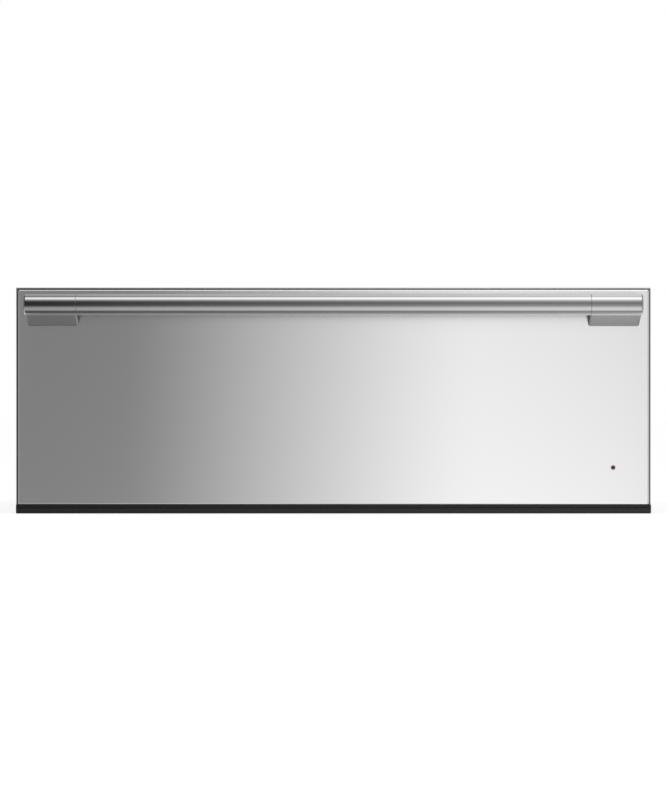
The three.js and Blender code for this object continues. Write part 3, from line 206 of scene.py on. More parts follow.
@dataclass(frozen=True)
class Surface:
    """A material in the making: its tree and shader, and the Object coordinates that its marks follow."""

    tree: Tree
    shader: Node
    place: Socket
    colour: str
    roughness: float

    def noise(self, grain: float | Point, detail: float = 3.0) -> Socket:
        """Adds a noise whose features have the given size.

        Args:
            grain: The feature size in millimetres, or its sizes along X, Y and Z.
            detail: How many finer layers it has.

        Returns:
            The noise's value, 0 to 1 about a mean of 0.5.
        """
        sizes = grain if isinstance(grain, tuple) else (grain,) * 3
        scale = tuple(1 / (size * MM) for size in sizes)
        stretched = add_node(self.tree, "ShaderNodeMapping", {"Vector": self.place, "Scale": scale})
        wanted = {"Vector": stretched, "Scale": 1.0, "Detail": detail}
        return add_node(self.tree, "ShaderNodeTexNoise", wanted).outputs["Fac"]

    def spread(self, value: Socket, low: float, high: float) -> Socket:
        """Maps the range that most of a noise lies in to the given one."""
        ends = {"From Min": NOISE_LOW, "From Max": NOISE_HIGH, "To Min": low, "To Max": high}
        return add_node(self.tree, "ShaderNodeMapRange", {"Value": value, **ends}).outputs["Result"]

    def hold(self, **values: Any) -> None:
        """Sets the shader's own sockets, whose spaces are written as underscores."""
        for name, value in values.items():
            self.shader.inputs[name.replace("_", " ")].default_value = value

    def tint(self, value: Socket, other: str) -> None:
        """Varies the base colour between the finish's own and another, by a 0 to 1 value."""
        colours = {MIX_FACTOR: value, MIX_A: linear(self.colour), MIX_B: linear(other)}
        mixed = add_node(self.tree, "ShaderNodeMix", colours, data_type="RGBA")
        self.tree.links.new(mixed.outputs[MIX_RESULT], self.shader.inputs["Base Color"])

    def rough(self, value: Socket, swing: float) -> None:
        """Varies the roughness by plus and minus swing with a noise."""
        ranged = self.spread(value, self.roughness - swing, self.roughness + swing)
        self.tree.links.new(ranged, self.shader.inputs["Roughness"])

    def emboss(self, value: Socket, depth_mm: float) -> None:
        """Raises the surface by a pattern of the given depth, in millimetres."""
        bump = add_node(
            self.tree, "ShaderNodeBump", {"Height": value, "Strength": 1.0, "Distance": depth_mm * MM}
        )
        self.tree.links.new(bump.outputs["Normal"], self.shader.inputs["Normal"])


@dataclass(frozen=True)
class Finish:
    """A surface as its maker would name it. Subclasses add the marks that their process leaves."""

    name: str
    slot: str
    colour: str
    roughness: float
    metallic: float = 0.0

    def material(self) -> bpy.types.Material:
        """Makes the finish's material the first time it is asked for.

        Returns:
            The material.
        """
        made = bpy.data.materials.get(self.name)
        if made:
            return made
        made = bpy.data.materials.new(self.name)
        made.use_nodes = True
        made.diffuse_color = linear(self.colour)
        tree = made.node_tree
        place = add_node(tree, "ShaderNodeTexCoord").outputs["Object"]
        surface = Surface(tree, tree.nodes["Principled BSDF"], place, self.colour, self.roughness)
        surface.hold(Base_Color=linear(self.colour), Roughness=self.roughness, Metallic=self.metallic)
        self.work(surface)
        return made

    def work(self, surface: Surface) -> None:
        """Adds the marks of the finish's process to a material in the making: subclasses say which."""


@dataclass(frozen=True)
class Stainless(Finish):
    """Stainless steel with the marks of its last process: a belt's long scratches, or a blast's even specks.

    Where the scratches run one way, a highlight smears across them and stays crisp along them.
    """

    metallic: float = 1.0
    grain: float | Point = (60.0, 0.5, 0.5)
    smear: Point = (0.0, 0.0, 1.0)
    anisotropy: float = 0.0
    swing: float = 0.03
    depth_mm: float = 0.002

    def work(self, surface: Surface) -> None:
        """Adds the scratches or specks. Scratches are drawn 0.5 mm wide, wider than real, so that they show.

        Args:
            surface: The material in the making.
        """
        marks = surface.noise(self.grain)
        surface.rough(marks, self.swing)
        surface.emboss(marks, self.depth_mm)
        surface.hold(Anisotropic=self.anisotropy)
        if self.anisotropy:
            turn = {"vector_type": "VECTOR", "convert_from": "OBJECT", "convert_to": "WORLD"}
            across = add_node(surface.tree, "ShaderNodeVectorTransform", {"Vector": self.smear}, **turn)
            surface.tree.links.new(across.outputs["Vector"], surface.shader.inputs["Tangent"])


@dataclass(frozen=True)
class GalvanisedSheet(Finish):
    """Steel dipped in zinc: large flat crystals, each a slightly different grey and gloss."""

    metallic: float = 1.0
    second: str = "B9BFC2"
    crystal_mm: float = 9.0
    waver_mm: float = 6.25
    waver_reach: float = 4 * MM
    glossier: float = 0.06
    duller: float = 0.08
    tooth_mm: float = 1.2
    depth_mm: float = 0.004

    def work(self, surface: Surface) -> None:
        """Adds the crystals, with wavering outlines, and a fine tooth.

        Args:
            surface: The material in the making.
        """
        tree = surface.tree
        waves, grid = 1 / (self.waver_mm * MM), 1 / (self.crystal_mm * MM)
        waver = add_node(tree, "ShaderNodeTexNoise", {"Vector": surface.place, "Scale": waves})
        shift = {0: waver.outputs["Color"], 1: (self.waver_reach,) * 3, 2: surface.place}
        warped = add_node(tree, "ShaderNodeVectorMath", shift, operation="MULTIPLY_ADD")
        crystals = add_node(tree, "ShaderNodeTexVoronoi", {"Vector": warped, "Scale": grid})
        chance = add_node(tree, "ShaderNodeSeparateColor", {"Color": crystals.outputs["Color"]}).outputs
        surface.tint(chance["Red"], self.second)
        ends = {"To Min": self.roughness - self.glossier, "To Max": self.roughness + self.duller}
        gloss = add_node(tree, "ShaderNodeMapRange", {"Value": chance["Green"], **ends})
        tree.links.new(gloss.outputs["Result"], surface.shader.inputs["Roughness"])
        surface.emboss(surface.noise(self.tooth_mm), self.depth_mm)


@dataclass(frozen=True)
class RolledSheet(Finish):
    """Aluminised or plated steel: no crystals, only a fine mottle, drawn out along X."""

    metallic: float = 1.0
    second: str = "A9ABAA"
    mottle_mm: float = 14.0
    stretch: float = 2.5
    swing: float = 0.05
    tooth_mm: float = 0.8
    depth_mm: float = 0.003

    def work(self, surface: Surface) -> None:
        """Adds the mottle in colour and gloss, and a fine tooth.

        Args:
            surface: The material in the making.
        """
        mottle = surface.noise((self.stretch * self.mottle_mm, self.mottle_mm, self.mottle_mm))
        surface.tint(surface.spread(mottle, 0.0, 1.0), self.second)
        surface.rough(mottle, self.swing)
        surface.emboss(surface.noise(self.tooth_mm, detail=1.0), self.depth_mm)


@dataclass(frozen=True)
class Moulding(Finish):
    """A moulded, printed or powder-coated part: one colour with the fine tooth of its tool or coat."""

    tooth_mm: float = 0.9
    depth_mm: float = 0.01
    swing: float = 0.04
    coat: float = 0.0
    coat_roughness: float = 0.05
    second: str | None = None
    drift_mm: float = 30.0

    def work(self, surface: Surface) -> None:
        """Adds the tooth, a clear coat where the part has one, and a slow drift to a second colour.

        Args:
            surface: The material in the making.
        """
        tooth = surface.noise(self.tooth_mm)
        surface.rough(tooth, self.swing)
        surface.emboss(tooth, self.depth_mm)
        surface.hold(Coat_Weight=self.coat, Coat_Roughness=self.coat_roughness)
        if self.second:
            surface.tint(surface.spread(surface.noise(self.drift_mm), 0.0, 1.0), self.second)


@dataclass(frozen=True)
class MineralWool(Finish):
    """Compressed mineral wool: yellowish fibres in layers, fully matt."""

    second: str = "A5946B"
    fibre: Point = (12.0, 12.0, 1.5)
    depth_mm: float = 0.6

    def work(self, surface: Surface) -> None:
        """Adds the fibres in their clumps, drawn 1.5 mm thick so that they show.

        Args:
            surface: The material in the making.
        """
        fibres = surface.noise(self.fibre, detail=6.0)
        surface.tint(surface.spread(fibres, 0.0, 1.0), self.second)
        surface.emboss(fibres, self.depth_mm)


@dataclass(frozen=True)
class OxidisedSheath(Finish):
    """An element's nickel alloy sheath, darkened by its first firings to uneven browns."""

    metallic: float = 0.8
    second: str = "5E5148"
    tint_mm: float = 40.0
    scale_mm: float = 2.0
    swing: float = 0.08

    def work(self, surface: Surface) -> None:
        """Adds the heat tints along the sheath and the gloss of its fine scale.

        Args:
            surface: The material in the making.
        """
        surface.tint(surface.spread(surface.noise(self.tint_mm), 0.0, 1.0), self.second)
        surface.rough(surface.noise(self.scale_mm), self.swing)


@dataclass(frozen=True)
class LampLens(Finish):
    """A dark red acrylic lens, dark while the lamp is off."""

    second: str = "A51A30"
    cloud_mm: float = 1.5
    cloud_share: float = 0.4
    coat: float = 0.6
    coat_roughness: float = 0.04

    def work(self, surface: Surface) -> None:
        """Adds the polished skin and a faint cloudiness.

        Args:
            surface: The material in the making.
        """
        cloud = surface.noise(self.cloud_mm)
        surface.tint(surface.spread(cloud, 0.0, self.cloud_share), self.second)
        surface.hold(Coat_Weight=self.coat, Coat_Roughness=self.coat_roughness)


class Finishes:
    """The finishes of this drawer, each named for its real material, and some for the shade or glow that
    their colour paints.
    """

    # Number 4 brushed stainless, grain along X: lights stay clear from side to side and smear up and down.
    FRONT = Stainless(
        "stainless_front_grain_across", "brushed_stainless", "DCDCDC", 0.17, anisotropy=0.82, swing=0.006,
        depth_mm=0.0002,
    )
    # The same steel polished round the bar: bands of light, crisp round it and smeared from end to end. Its
    # grey is set darker than the front's, which paints the bar in shade beside the front.
    BAR = Stainless(
        "stainless_bar_grain_round", "handle_stainless", "BFBFBF", 0.2, grain=(0.5, 40.0, 40.0),
        smear=(1.0, 0.0, 0.0), anisotropy=0.7, swing=0.01, depth_mm=0.0003,
    )
    # The mounts' necks are cast and only blasted, which makes them duller than the bar; their darker grey is
    # painted shade.
    NECK = Stainless(
        "stainless_blasted_casting", "handle_stainless", "A0A0A1", 0.42, grain=0.8, swing=0.03, depth_mm=0.003
    )
    # Their inner and outer sides are a still darker copy of the same steel: painted shade on the faces that
    # turn sideways.
    SHADED_SIDE = Stainless(
        "stainless_as_cast", "handle_stainless", "59595A", 0.5, grain=0.8, swing=0.03, depth_mm=0.006
    )
    # The face frame has an even satin with no direction, and shows round the front as a thin line.
    FRAME = Stainless(
        "stainless_frame_matt", "brushed_stainless", "C4C5C5", 0.3, grain=2.0, swing=0.03, depth_mm=0.002
    )
    # The drawer's box, the vents' slide and the probe are satin stainless: a broad, faintly drawn sheen.
    SATIN = Stainless("stainless_satin_coil", "pan_stainless", "D0D1D0", 0.3, anisotropy=0.4, swing=0.03)
    # The pan and its rack are glass-bead finished after forming: an even soft sheen all round.
    PAN = Stainless(
        "stainless_deep_drawn", "pan_stainless", "D4D5D5", 0.28, grain=0.8, swing=0.02, depth_mm=0.0008
    )
    # The chassis is hot-dip galvanised: a mosaic of zinc crystals, bluish and dull.
    GALVANISED = GalvanisedSheet("galvanised_sheet_spangle", "galvanised", "A6ADB0", 0.42)
    # Aluminised sheet stands the heat inside: an even pale grey with a low sheen.
    ALUMINISED = RolledSheet("aluminised_sheet", "aluminised", "BFC1C0", 0.36)
    # Bright zinc plate on the slides, screws and bolts, with its blue cast.
    ZINC = RolledSheet(
        "zinc_plated_rail", "zinc_plate", "BEC3C7", 0.3, second="B5BBC1", mottle_mm=30.0, swing=0.02,
        depth_mm=0.0006,
    )
    # The slides' balls are hardened and polished: each holds a small bright point.
    BALL = RolledSheet(
        "hardened_ball_steel", "zinc_plate", "D5D6D8", 0.12, second="CBCDD0", mottle_mm=2.0, swing=0.01,
        depth_mm=0.0001,
    )
    # The trim is steel with a satin black powder coat.
    TRIM = Moulding("black_powder_coat", "black_trim", "333335", 0.36, tooth_mm=0.7, depth_mm=0.004)
    # The fascia is gloss black ABS under a hard coat, so it mirrors the room.
    FASCIA = Moulding(
        "gloss_black_abs", "black_fascia", "0B0C0D", 0.12, tooth_mm=9.0, depth_mm=0.0004, swing=0.01, coat=1.0
    )
    # The buttons are moulded in grey ABS from a finely textured tool: a soft, even sheen.
    BUTTON = Moulding("grey_abs_button", "button_grey", "8F9294", 0.46, tooth_mm=0.6, depth_mm=0.004)
    # Their symbols are pad-printed in flat white ink.
    PRINT = Moulding("white_pad_print", "button_grey", "F1F2F1", 0.5, tooth_mm=0.4, depth_mm=0.001)
    # The bulb seal is extruded silicone: dark and matt.
    SEAL = Moulding("silicone_bulb_seal", "seal_grey", "3B3C3E", 0.62, tooth_mm=0.5)
    # The insulation is pressed mineral wool: pale yellow, with no highlight at all.
    WOOL = MineralWool("compressed_mineral_wool", "mineral_board", "CFC08D", 0.95)
    # The element's sheath is fired nickel alloy: a dull brown black.
    SHEATH = OxidisedSheath("oxidised_element_sheath", "element_sheath", "46413E", 0.5)
    # The circuit boards are lacquered with solder mask: green with a half gloss.
    BOARD = Moulding("green_solder_mask", "board_green", "1C5737", 0.38, tooth_mm=2.0, second="256B45")
    # The terminal block is moulded in natural polyamide: off-white with a waxy sheen.
    WHITE = Moulding("white_polyamide", "white_moulding", "E6E2D6", 0.5)
    # The controls' housing, the cut-out and the vents' guide are black polyamide: dull and faintly uneven.
    BLACK = Moulding("black_polyamide", "black_moulding", "202123", 0.55, second="26272A")
    # The lens and the lamp behind it are dark red acrylic with a polished skin: nearly black when unlit.
    LENS = LampLens("dark_red_acrylic", "lamp_red", "5A1020", 0.12)
    # A thin rim on the skin round the lens; its pale rose colour paints the lamp's glow halo.
    HALO_RIM = Moulding("clear_rose_acrylic", "lamp_red", "F3DDE0", 0.2, tooth_mm=0.5, depth_mm=0.001, coat=0.5)


# ---------------------------------------------------------------------------------------------------
# Meshes
# ---------------------------------------------------------------------------------------------------


# Points closer than this are one point, and shorter edges than the second are no edges, in metres.
MERGE_WITHIN = 2e-6
NO_LENGTH = 1e-7
# Faces that meet at less than this are one flat face, in degrees.
FLAT_BELOW = 1.0
# An edge between faces that meet at more than this is sharp, in degrees.
SHARP_ABOVE = 32.0
# How many flats an eased edge is rounded with.
EASED_STEPS = 2


def put_in_scene(name: str, mesh: bpy.types.Mesh, finish: Finish | None) -> Piece:
    """Makes an object of a mesh, at the origin.

    Args:
        name: The object's name.
        mesh: Its mesh.
        finish: The finish it wears, if it isn't given one later.

    Returns:
        The object.
    """
    obj = bpy.data.objects.new(name, mesh)
    bpy.context.scene.collection.objects.link(obj)
    if finish:
        mesh.materials.clear()
        mesh.materials.append(finish.material())
    return obj


def settle(mesh: bpy.types.Mesh, turn_out: bool = True) -> None:
    """Merges a mesh's doubles and turns its faces out.

    Args:
        mesh: The mesh, changed in place.
        turn_out: Whether the faces are made to point outwards.
    """
    shape = bmesh.new()
    shape.from_mesh(mesh)
    bmesh.ops.remove_doubles(shape, verts=shape.verts, dist=MERGE_WITHIN)
    bmesh.ops.dissolve_degenerate(shape, edges=shape.edges, dist=NO_LENGTH)
    if turn_out:
        bmesh.ops.recalc_face_normals(shape, faces=shape.faces)
    shape.to_mesh(mesh)
    shape.free()


def shade(obj: Piece, sharp_above: float = SHARP_ABOVE) -> Piece:
    """Shades a piece smooth across its gentle edges only, with big faces ruling the shared normals.

    Args:
        obj: The piece.
        sharp_above: The angle between faces, in degrees, above which an edge stays sharp.

    Returns:
        The piece.
    """
    mesh = obj.data
    mesh.polygons.foreach_set("use_smooth", [True] * len(mesh.polygons))
    mesh.set_sharp_from_angle(angle=math.radians(sharp_above))
    weighting = obj.modifiers.new("face_area_normals", "WEIGHTED_NORMAL")
    weighting.keep_sharp = True
    return obj


def bake(obj: Piece) -> None:
    """Turns a piece's modifiers into its mesh.

    Args:
        obj: The piece, changed in place.
    """
    depsgraph = bpy.context.evaluated_depsgraph_get()
    mesh = bpy.data.meshes.new_from_object(obj.evaluated_get(depsgraph))
    obj.modifiers.clear()
    obj.data = mesh


def shell(name: str, points: Sequence[Point], faces: Sequence[Sequence[int]], finish: Finish) -> Piece:
    """Makes a closed piece of points and faces.

    Args:
        name: The piece's name.
        points: Its points.
        faces: Its faces, as numbers of points. They needn't point outwards yet.
        finish: Its finish.

    Returns:
        The piece.
    """
    mesh = bpy.data.meshes.new(name)
    mesh.from_pydata(points, [], faces)
    settle(mesh)
    return put_in_scene(name, mesh, finish)


def lofted(name: str, rings: Sequence[Ring], finish: Finish, looped: bool = False) -> Piece:
    """Skins closed rings one to the next.

    Args:
        name: The piece's name.
        rings: Rings of equally many points.
        finish: Its finish.
        looped: Whether the last ring joins the first; otherwise both ends are capped.

    Returns:
        The piece.
    """
    count = len(rings[0])
    faces = [
        (r * count + i, r * count + (i + 1) % count, s * count + (i + 1) % count, s * count + i)
        for r, s in zip(range(len(rings)), [*range(1, len(rings)), 0])
        for i in range(count)
        if looped or s
    ]
    last = (len(rings) - 1) * count
    caps = [] if looped else [tuple(range(count))[::-1], tuple(range(last, last + count))]
    return shell(name, [p for ring in rings for p in ring], [*faces, *caps], finish)


class Axis(Enum):
    """The world axis that a turned piece is turned about."""

    X = 0
    Y = 1


def turned(
    name: str, profile: Sequence[Pair], axis: Axis, centre: Pair, finish: Finish, steps: int = 48
) -> Piece:
    """Turns a profile about a line along X or Y.

    Args:
        name: The piece's name.
        profile: (radius, along) pairs, from the axis to the axis, or closed on themselves.
        axis: The line's direction.
        centre: The line's place in the other two axes.
        finish: Its finish.
        steps: How many flats go round.

    Returns:
        The piece.
    """
    turns = [2 * math.pi * i / steps for i in range(steps)]
    rings = []
    for radius, along in profile:
        circle = [(centre[0] + radius * math.cos(t), centre[1] + radius * math.sin(t)) for t in turns]
        rings.append([(along, a, b) if axis is Axis.X else (a, along, b) for a, b in circle])
    return lofted(name, rings, finish, looped=profile[0] == profile[-1])


def swept(name: str, section: Sequence[Pair], path: Ring, out: Vector, finish: Finish, looped: bool) -> Piece:
    """Draws a section along a flat path.

    Args:
        name: The piece's name.
        section: (across, out) pairs: across lies in the path's plane, to its right.
        path: The path's points.
        out: The normal of the path's plane.
        finish: Its finish.
        looped: Whether the path closes on itself.

    Returns:
        The piece.
    """
    points = [Vector(p) for p in path]
    last = len(points) - 1
    rings = []
    for i, point in enumerate(points):
        before = points[i - 1] if looped or i else point
        after = points[(i + 1) % len(points)] if looped or i < last else point
        back, ahead = (point - before).normalized(), (after - point).normalized()
        along = (back + ahead).normalized()
        across = along.cross(out)
        # A corner stretches the section, to twice its width at most.
        mitre = 1 / max(along.dot(ahead if ahead.length else back), 0.5)
        rings.append([tuple(point + across * (u * mitre) + out * v) for u, v in section])
    return lofted(name, rings, finish, looped)


def block(name: str, low: Point, high: Point, finish: Finish) -> Piece:
    """Makes a box between two corners."""
    corners = [(low[0], low[1]), (high[0], low[1]), (high[0], high[1]), (low[0], high[1])]
    return lofted(name, [level(corners, low[2]), level(corners, high[2])], finish)


class Meeting(Enum):
    """How two solids are combined."""

    CUT = "DIFFERENCE"
    JOIN = "UNION"


def combined(obj: Piece, how: Meeting, others: Sequence[Piece]) -> Piece:
    """Cuts other solids out of a piece or joins them to it.

    Args:
        obj: The piece.
        how: Whether they are cut or joined.
        others: The other solids, which are used up.

    Returns:
        The piece.
    """
    for other in others:
        step = obj.modifiers.new(how.name, "BOOLEAN")
        step.operation, step.object, step.solver = how.value, other, "EXACT"
    bake(obj)
    for other in others:
        bpy.data.objects.remove(other)
    return obj


def eased(obj: Piece, width: float) -> Piece:
    """Rounds a piece's sharp edges by a small width, as a press brake or a mould leaves them.

    Args:
        obj: The piece.
        width: The width of the rounding.

    Returns:
        The piece.
    """
    rounding = obj.modifiers.new("eased_edges", "BEVEL")
    rounding.width, rounding.segments = width, EASED_STEPS
    rounding.limit_method, rounding.angle_limit = "ANGLE", math.radians(SHARP_ABOVE)
    rounding.use_clamp_overlap, rounding.loop_slide = True, False
    return obj


def box_of(node: str) -> tuple[Vector, Vector]:
    """Gives a node's lowest and highest corner at rest."""
    low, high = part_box(node)
    return Vector(low), Vector(high)


def line_of(node: str) -> tuple[Vector, Vector, Pair]:
    """Gives a node's two corners, and the (x, z) place of its centre line from front to back."""
    low, high = box_of(node)
    return low, high, ((low.x + high.x) / 2, (low.z + high.z) / 2)


def body_of(node: str) -> str:
    """Gives the body that a node rides on."""
    bodies: dict[str, list[str]] = frame["record"]["behaviour"]["bodies"]
    return next(body for body, nodes in bodies.items() if node in nodes)


def hand_over(obj: Piece, finish: Finish, body: str, *nodes: str) -> None:
    """Gives a finished piece to the frame.

    Args:
        obj: The piece.
        finish: Not used.
        body: The body it rides on.
        *nodes: The nodes it stands for.
    """
    if nodes:
        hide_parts(*nodes)
    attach(obj, body)
    LOG.info("%s rides on %s", obj.name, body)


def folded_copy(node: str, finish: Finish, ease: float = 0.25 * MM) -> None:
    """Replaces a node by the same solid with its edges eased.

    Args:
        node: The node's name.
        finish: The finish of the copy.
        ease: How wide the eased edges are.
    """
    source = frame["nodes"][node].data
    mesh = bpy.data.meshes.new(f"{node}_eased")
    mesh.from_pydata([tuple(v.co) for v in source.vertices], [], [tuple(p.vertices) for p in source.polygons])
    settle(mesh, turn_out=False)
    shape = bmesh.new()
    shape.from_mesh(mesh)
    flat = math.radians(FLAT_BELOW)
    bmesh.ops.dissolve_limit(shape, angle_limit=flat, verts=shape.verts, edges=shape.edges)
    # A face with holes in it is filled evenly, so that no long edge passes close by a hole's corner.
    many_sided = [face for face in shape.faces if len(face.verts) > 4]
    bmesh.ops.triangulate(shape, faces=many_sided, ngon_method="BEAUTY")
    shape.to_mesh(mesh)
    shape.free()
    obj = put_in_scene(f"{node}_eased", mesh, finish)
    hand_over(shade(eased(obj, ease)), finish, body_of(node), node)


def dress(finish: Finish, *nodes: str) -> None:
    """Gives nodes that stay as they are their finish.

    Args:
        finish: The finish.
        *nodes: The nodes' names.
    """
    for node in nodes:
        for holder in frame["nodes"][node].material_slots:
            holder.link = "OBJECT"
            holder.material = finish.material()
        LOG.info("%s wears %s", node, finish.name)


# ---------------------------------------------------------------------------------------------------
# Geometry Nodes: what repeats
# ---------------------------------------------------------------------------------------------------


class Grower:
    """A Geometry Nodes tree with named inputs, grown once into a plain mesh."""

    SOCKETS = {float: "NodeSocketFloat", int: "NodeSocketInt", bpy.types.Material: "NodeSocketMaterial"}
    # The angle between faces, in degrees, above which an edge of a grown piece stays sharp.
    SHARP_ABOVE = 40.0

    def __init__(self, name: str, finish: Finish, **sizes: float | int) -> None:
        """Opens a tree.

        Args:
            name: The tree's name, which its piece takes too.
            finish: The finish of its piece.
            **sizes: The value of each named input.
        """
        self.name = name
        self.finish = finish
        self.values = {**sizes, "material": finish.material()}
        self.tree = bpy.data.node_groups.new(name, "GeometryNodeTree")
        self.tree.interface.new_socket("Geometry", in_out="INPUT", socket_type="NodeSocketGeometry")
        for label, value in self.values.items():
            self.tree.interface.new_socket(label, in_out="INPUT", socket_type=self.SOCKETS[type(value)])
        self.tree.interface.new_socket("Geometry", in_out="OUTPUT", socket_type="NodeSocketGeometry")
        self.given = self.tree.nodes.new("NodeGroupInput").outputs

    def add(self, kind: str, inputs: dict[str | int, Any] | None = None, **settings: Any) -> Node:
        """Adds a node to the tree."""
        return add_node(self.tree, kind, inputs, **settings)

    def grown(self, geometry: Node, seed: bpy.types.Mesh) -> Piece:
        """Closes the tree with Realize Instances and Set Material, and makes its plain mesh.

        Args:
            geometry: The node that the tree's form comes from.
            seed: The mesh that the tree starts from.

        Returns:
            The piece, without its modifier.
        """
        real = self.add("GeometryNodeRealizeInstances", {"Geometry": geometry})
        smooth = self.add("GeometryNodeSetShadeSmooth", {"Geometry": real})
        worn = self.add("GeometryNodeSetMaterial", {"Geometry": smooth, "Material": self.given["material"]})
        self.add("NodeGroupOutput", {0: worn})
        obj = put_in_scene(self.name, seed, None)
        grow = obj.modifiers.new(self.name, "NODES")
        grow.node_group = self.tree
        for item in self.tree.interface.items_tree:
            if item.in_out == "INPUT" and item.name in self.values:
                grow[item.identifier] = self.values[item.name]
        bake(obj)
        obj.data.name = self.name
        obj.data.set_sharp_from_angle(angle=math.radians(self.SHARP_ABOVE))
        return obj


@dataclass(frozen=True)
class Fastener:
    """Where a screw head sits and which way it faces."""

    place: Point
    facing: Point


@dataclass(frozen=True)
class ScrewHeads:
    """A set of equal screw heads on one body: low domes with a cross recess."""

    name: str
    heads: Sequence[Fastener]
    radius: float = 3.6 * MM
    height: float = 1.7 * MM
    recess: float = 0.8 * MM
    # The recess's length and the width of the block that cuts the dome flat, in radii.
    recess_length: float = 1.1
    block_width: float = 3.0
    # The share of the height that is cut off flat.
    seat: float = 0.05

    def build(self, finish: Finish, body: str) -> None:
        """Grows the heads: a flattened dome, cut flat below and crossed by a recess, on every place.

        Args:
            finish: Their finish.
            body: The body they ride on.
        """
        mesh = bpy.data.meshes.new(f"{self.name}_places")
        mesh.from_pydata([head.place for head in self.heads], [], [])
        facing = mesh.attributes.new("facing", "FLOAT_VECTOR", "POINT")
        facing.data.foreach_set("vector", [c for head in self.heads for c in head.facing])
        grower = Grower(self.name, finish, radius=self.radius, height=self.height, recess=self.recess)
        radius, height, recess = (grower.given[label] for label in ("radius", "height", "recess"))
        size = grower.add("ShaderNodeCombineXYZ", {"X": radius, "Y": radius, "Z": height})
        ball = grower.add("GeometryNodeMeshUVSphere", {"Segments": 20, "Rings": 12, "Radius": 1.0})
        dome = grower.add("GeometryNodeTransform", {"Geometry": ball, "Scale": size})
        wide = grower.add("ShaderNodeMath", {0: radius, 1: self.block_width}, operation="MULTIPLY")
        size = grower.add("ShaderNodeCombineXYZ", {"X": wide, "Y": wide, "Z": height})
        below = grower.add("GeometryNodeMeshCube", {"Size": size})
        drop = grower.add("ShaderNodeMath", {0: height, 1: self.seat - 0.5}, operation="MULTIPLY")
        move = grower.add("ShaderNodeCombineXYZ", {"Z": drop})
        tools = [grower.add("GeometryNodeTransform", {"Geometry": below, "Translation": move})]
        long = grower.add("ShaderNodeMath", {0: radius, 1: self.recess_length}, operation="MULTIPLY")
        move = grower.add("ShaderNodeCombineXYZ", {"Z": height})
        for length, width in ((long, recess), (recess, long)):
            size = grower.add("ShaderNodeCombineXYZ", {"X": length, "Y": width, "Z": height})
            bar = grower.add("GeometryNodeMeshCube", {"Size": size})
            tools.append(grower.add("GeometryNodeTransform", {"Geometry": bar, "Translation": move}))
        head = grower.add(
            "GeometryNodeMeshBoolean", {0: dome, 1: tools}, operation="DIFFERENCE", solver="EXACT"
        )
        aim = grower.add("GeometryNodeInputNamedAttribute", {"Name": "facing"}, data_type="FLOAT_VECTOR")
        turn = grower.add("FunctionNodeAlignRotationToVector", {"Vector": aim}, axis="Z")
        set_out = {"Points": grower.given[0], "Instance": head, "Rotation": turn}
        heads = grower.grown(grower.add("GeometryNodeInstanceOnPoints", set_out), mesh)
        hand_over(heads, finish, body)


# ---------------------------------------------------------------------------------------------------
# The drawer front and its handle
# ---------------------------------------------------------------------------------------------------


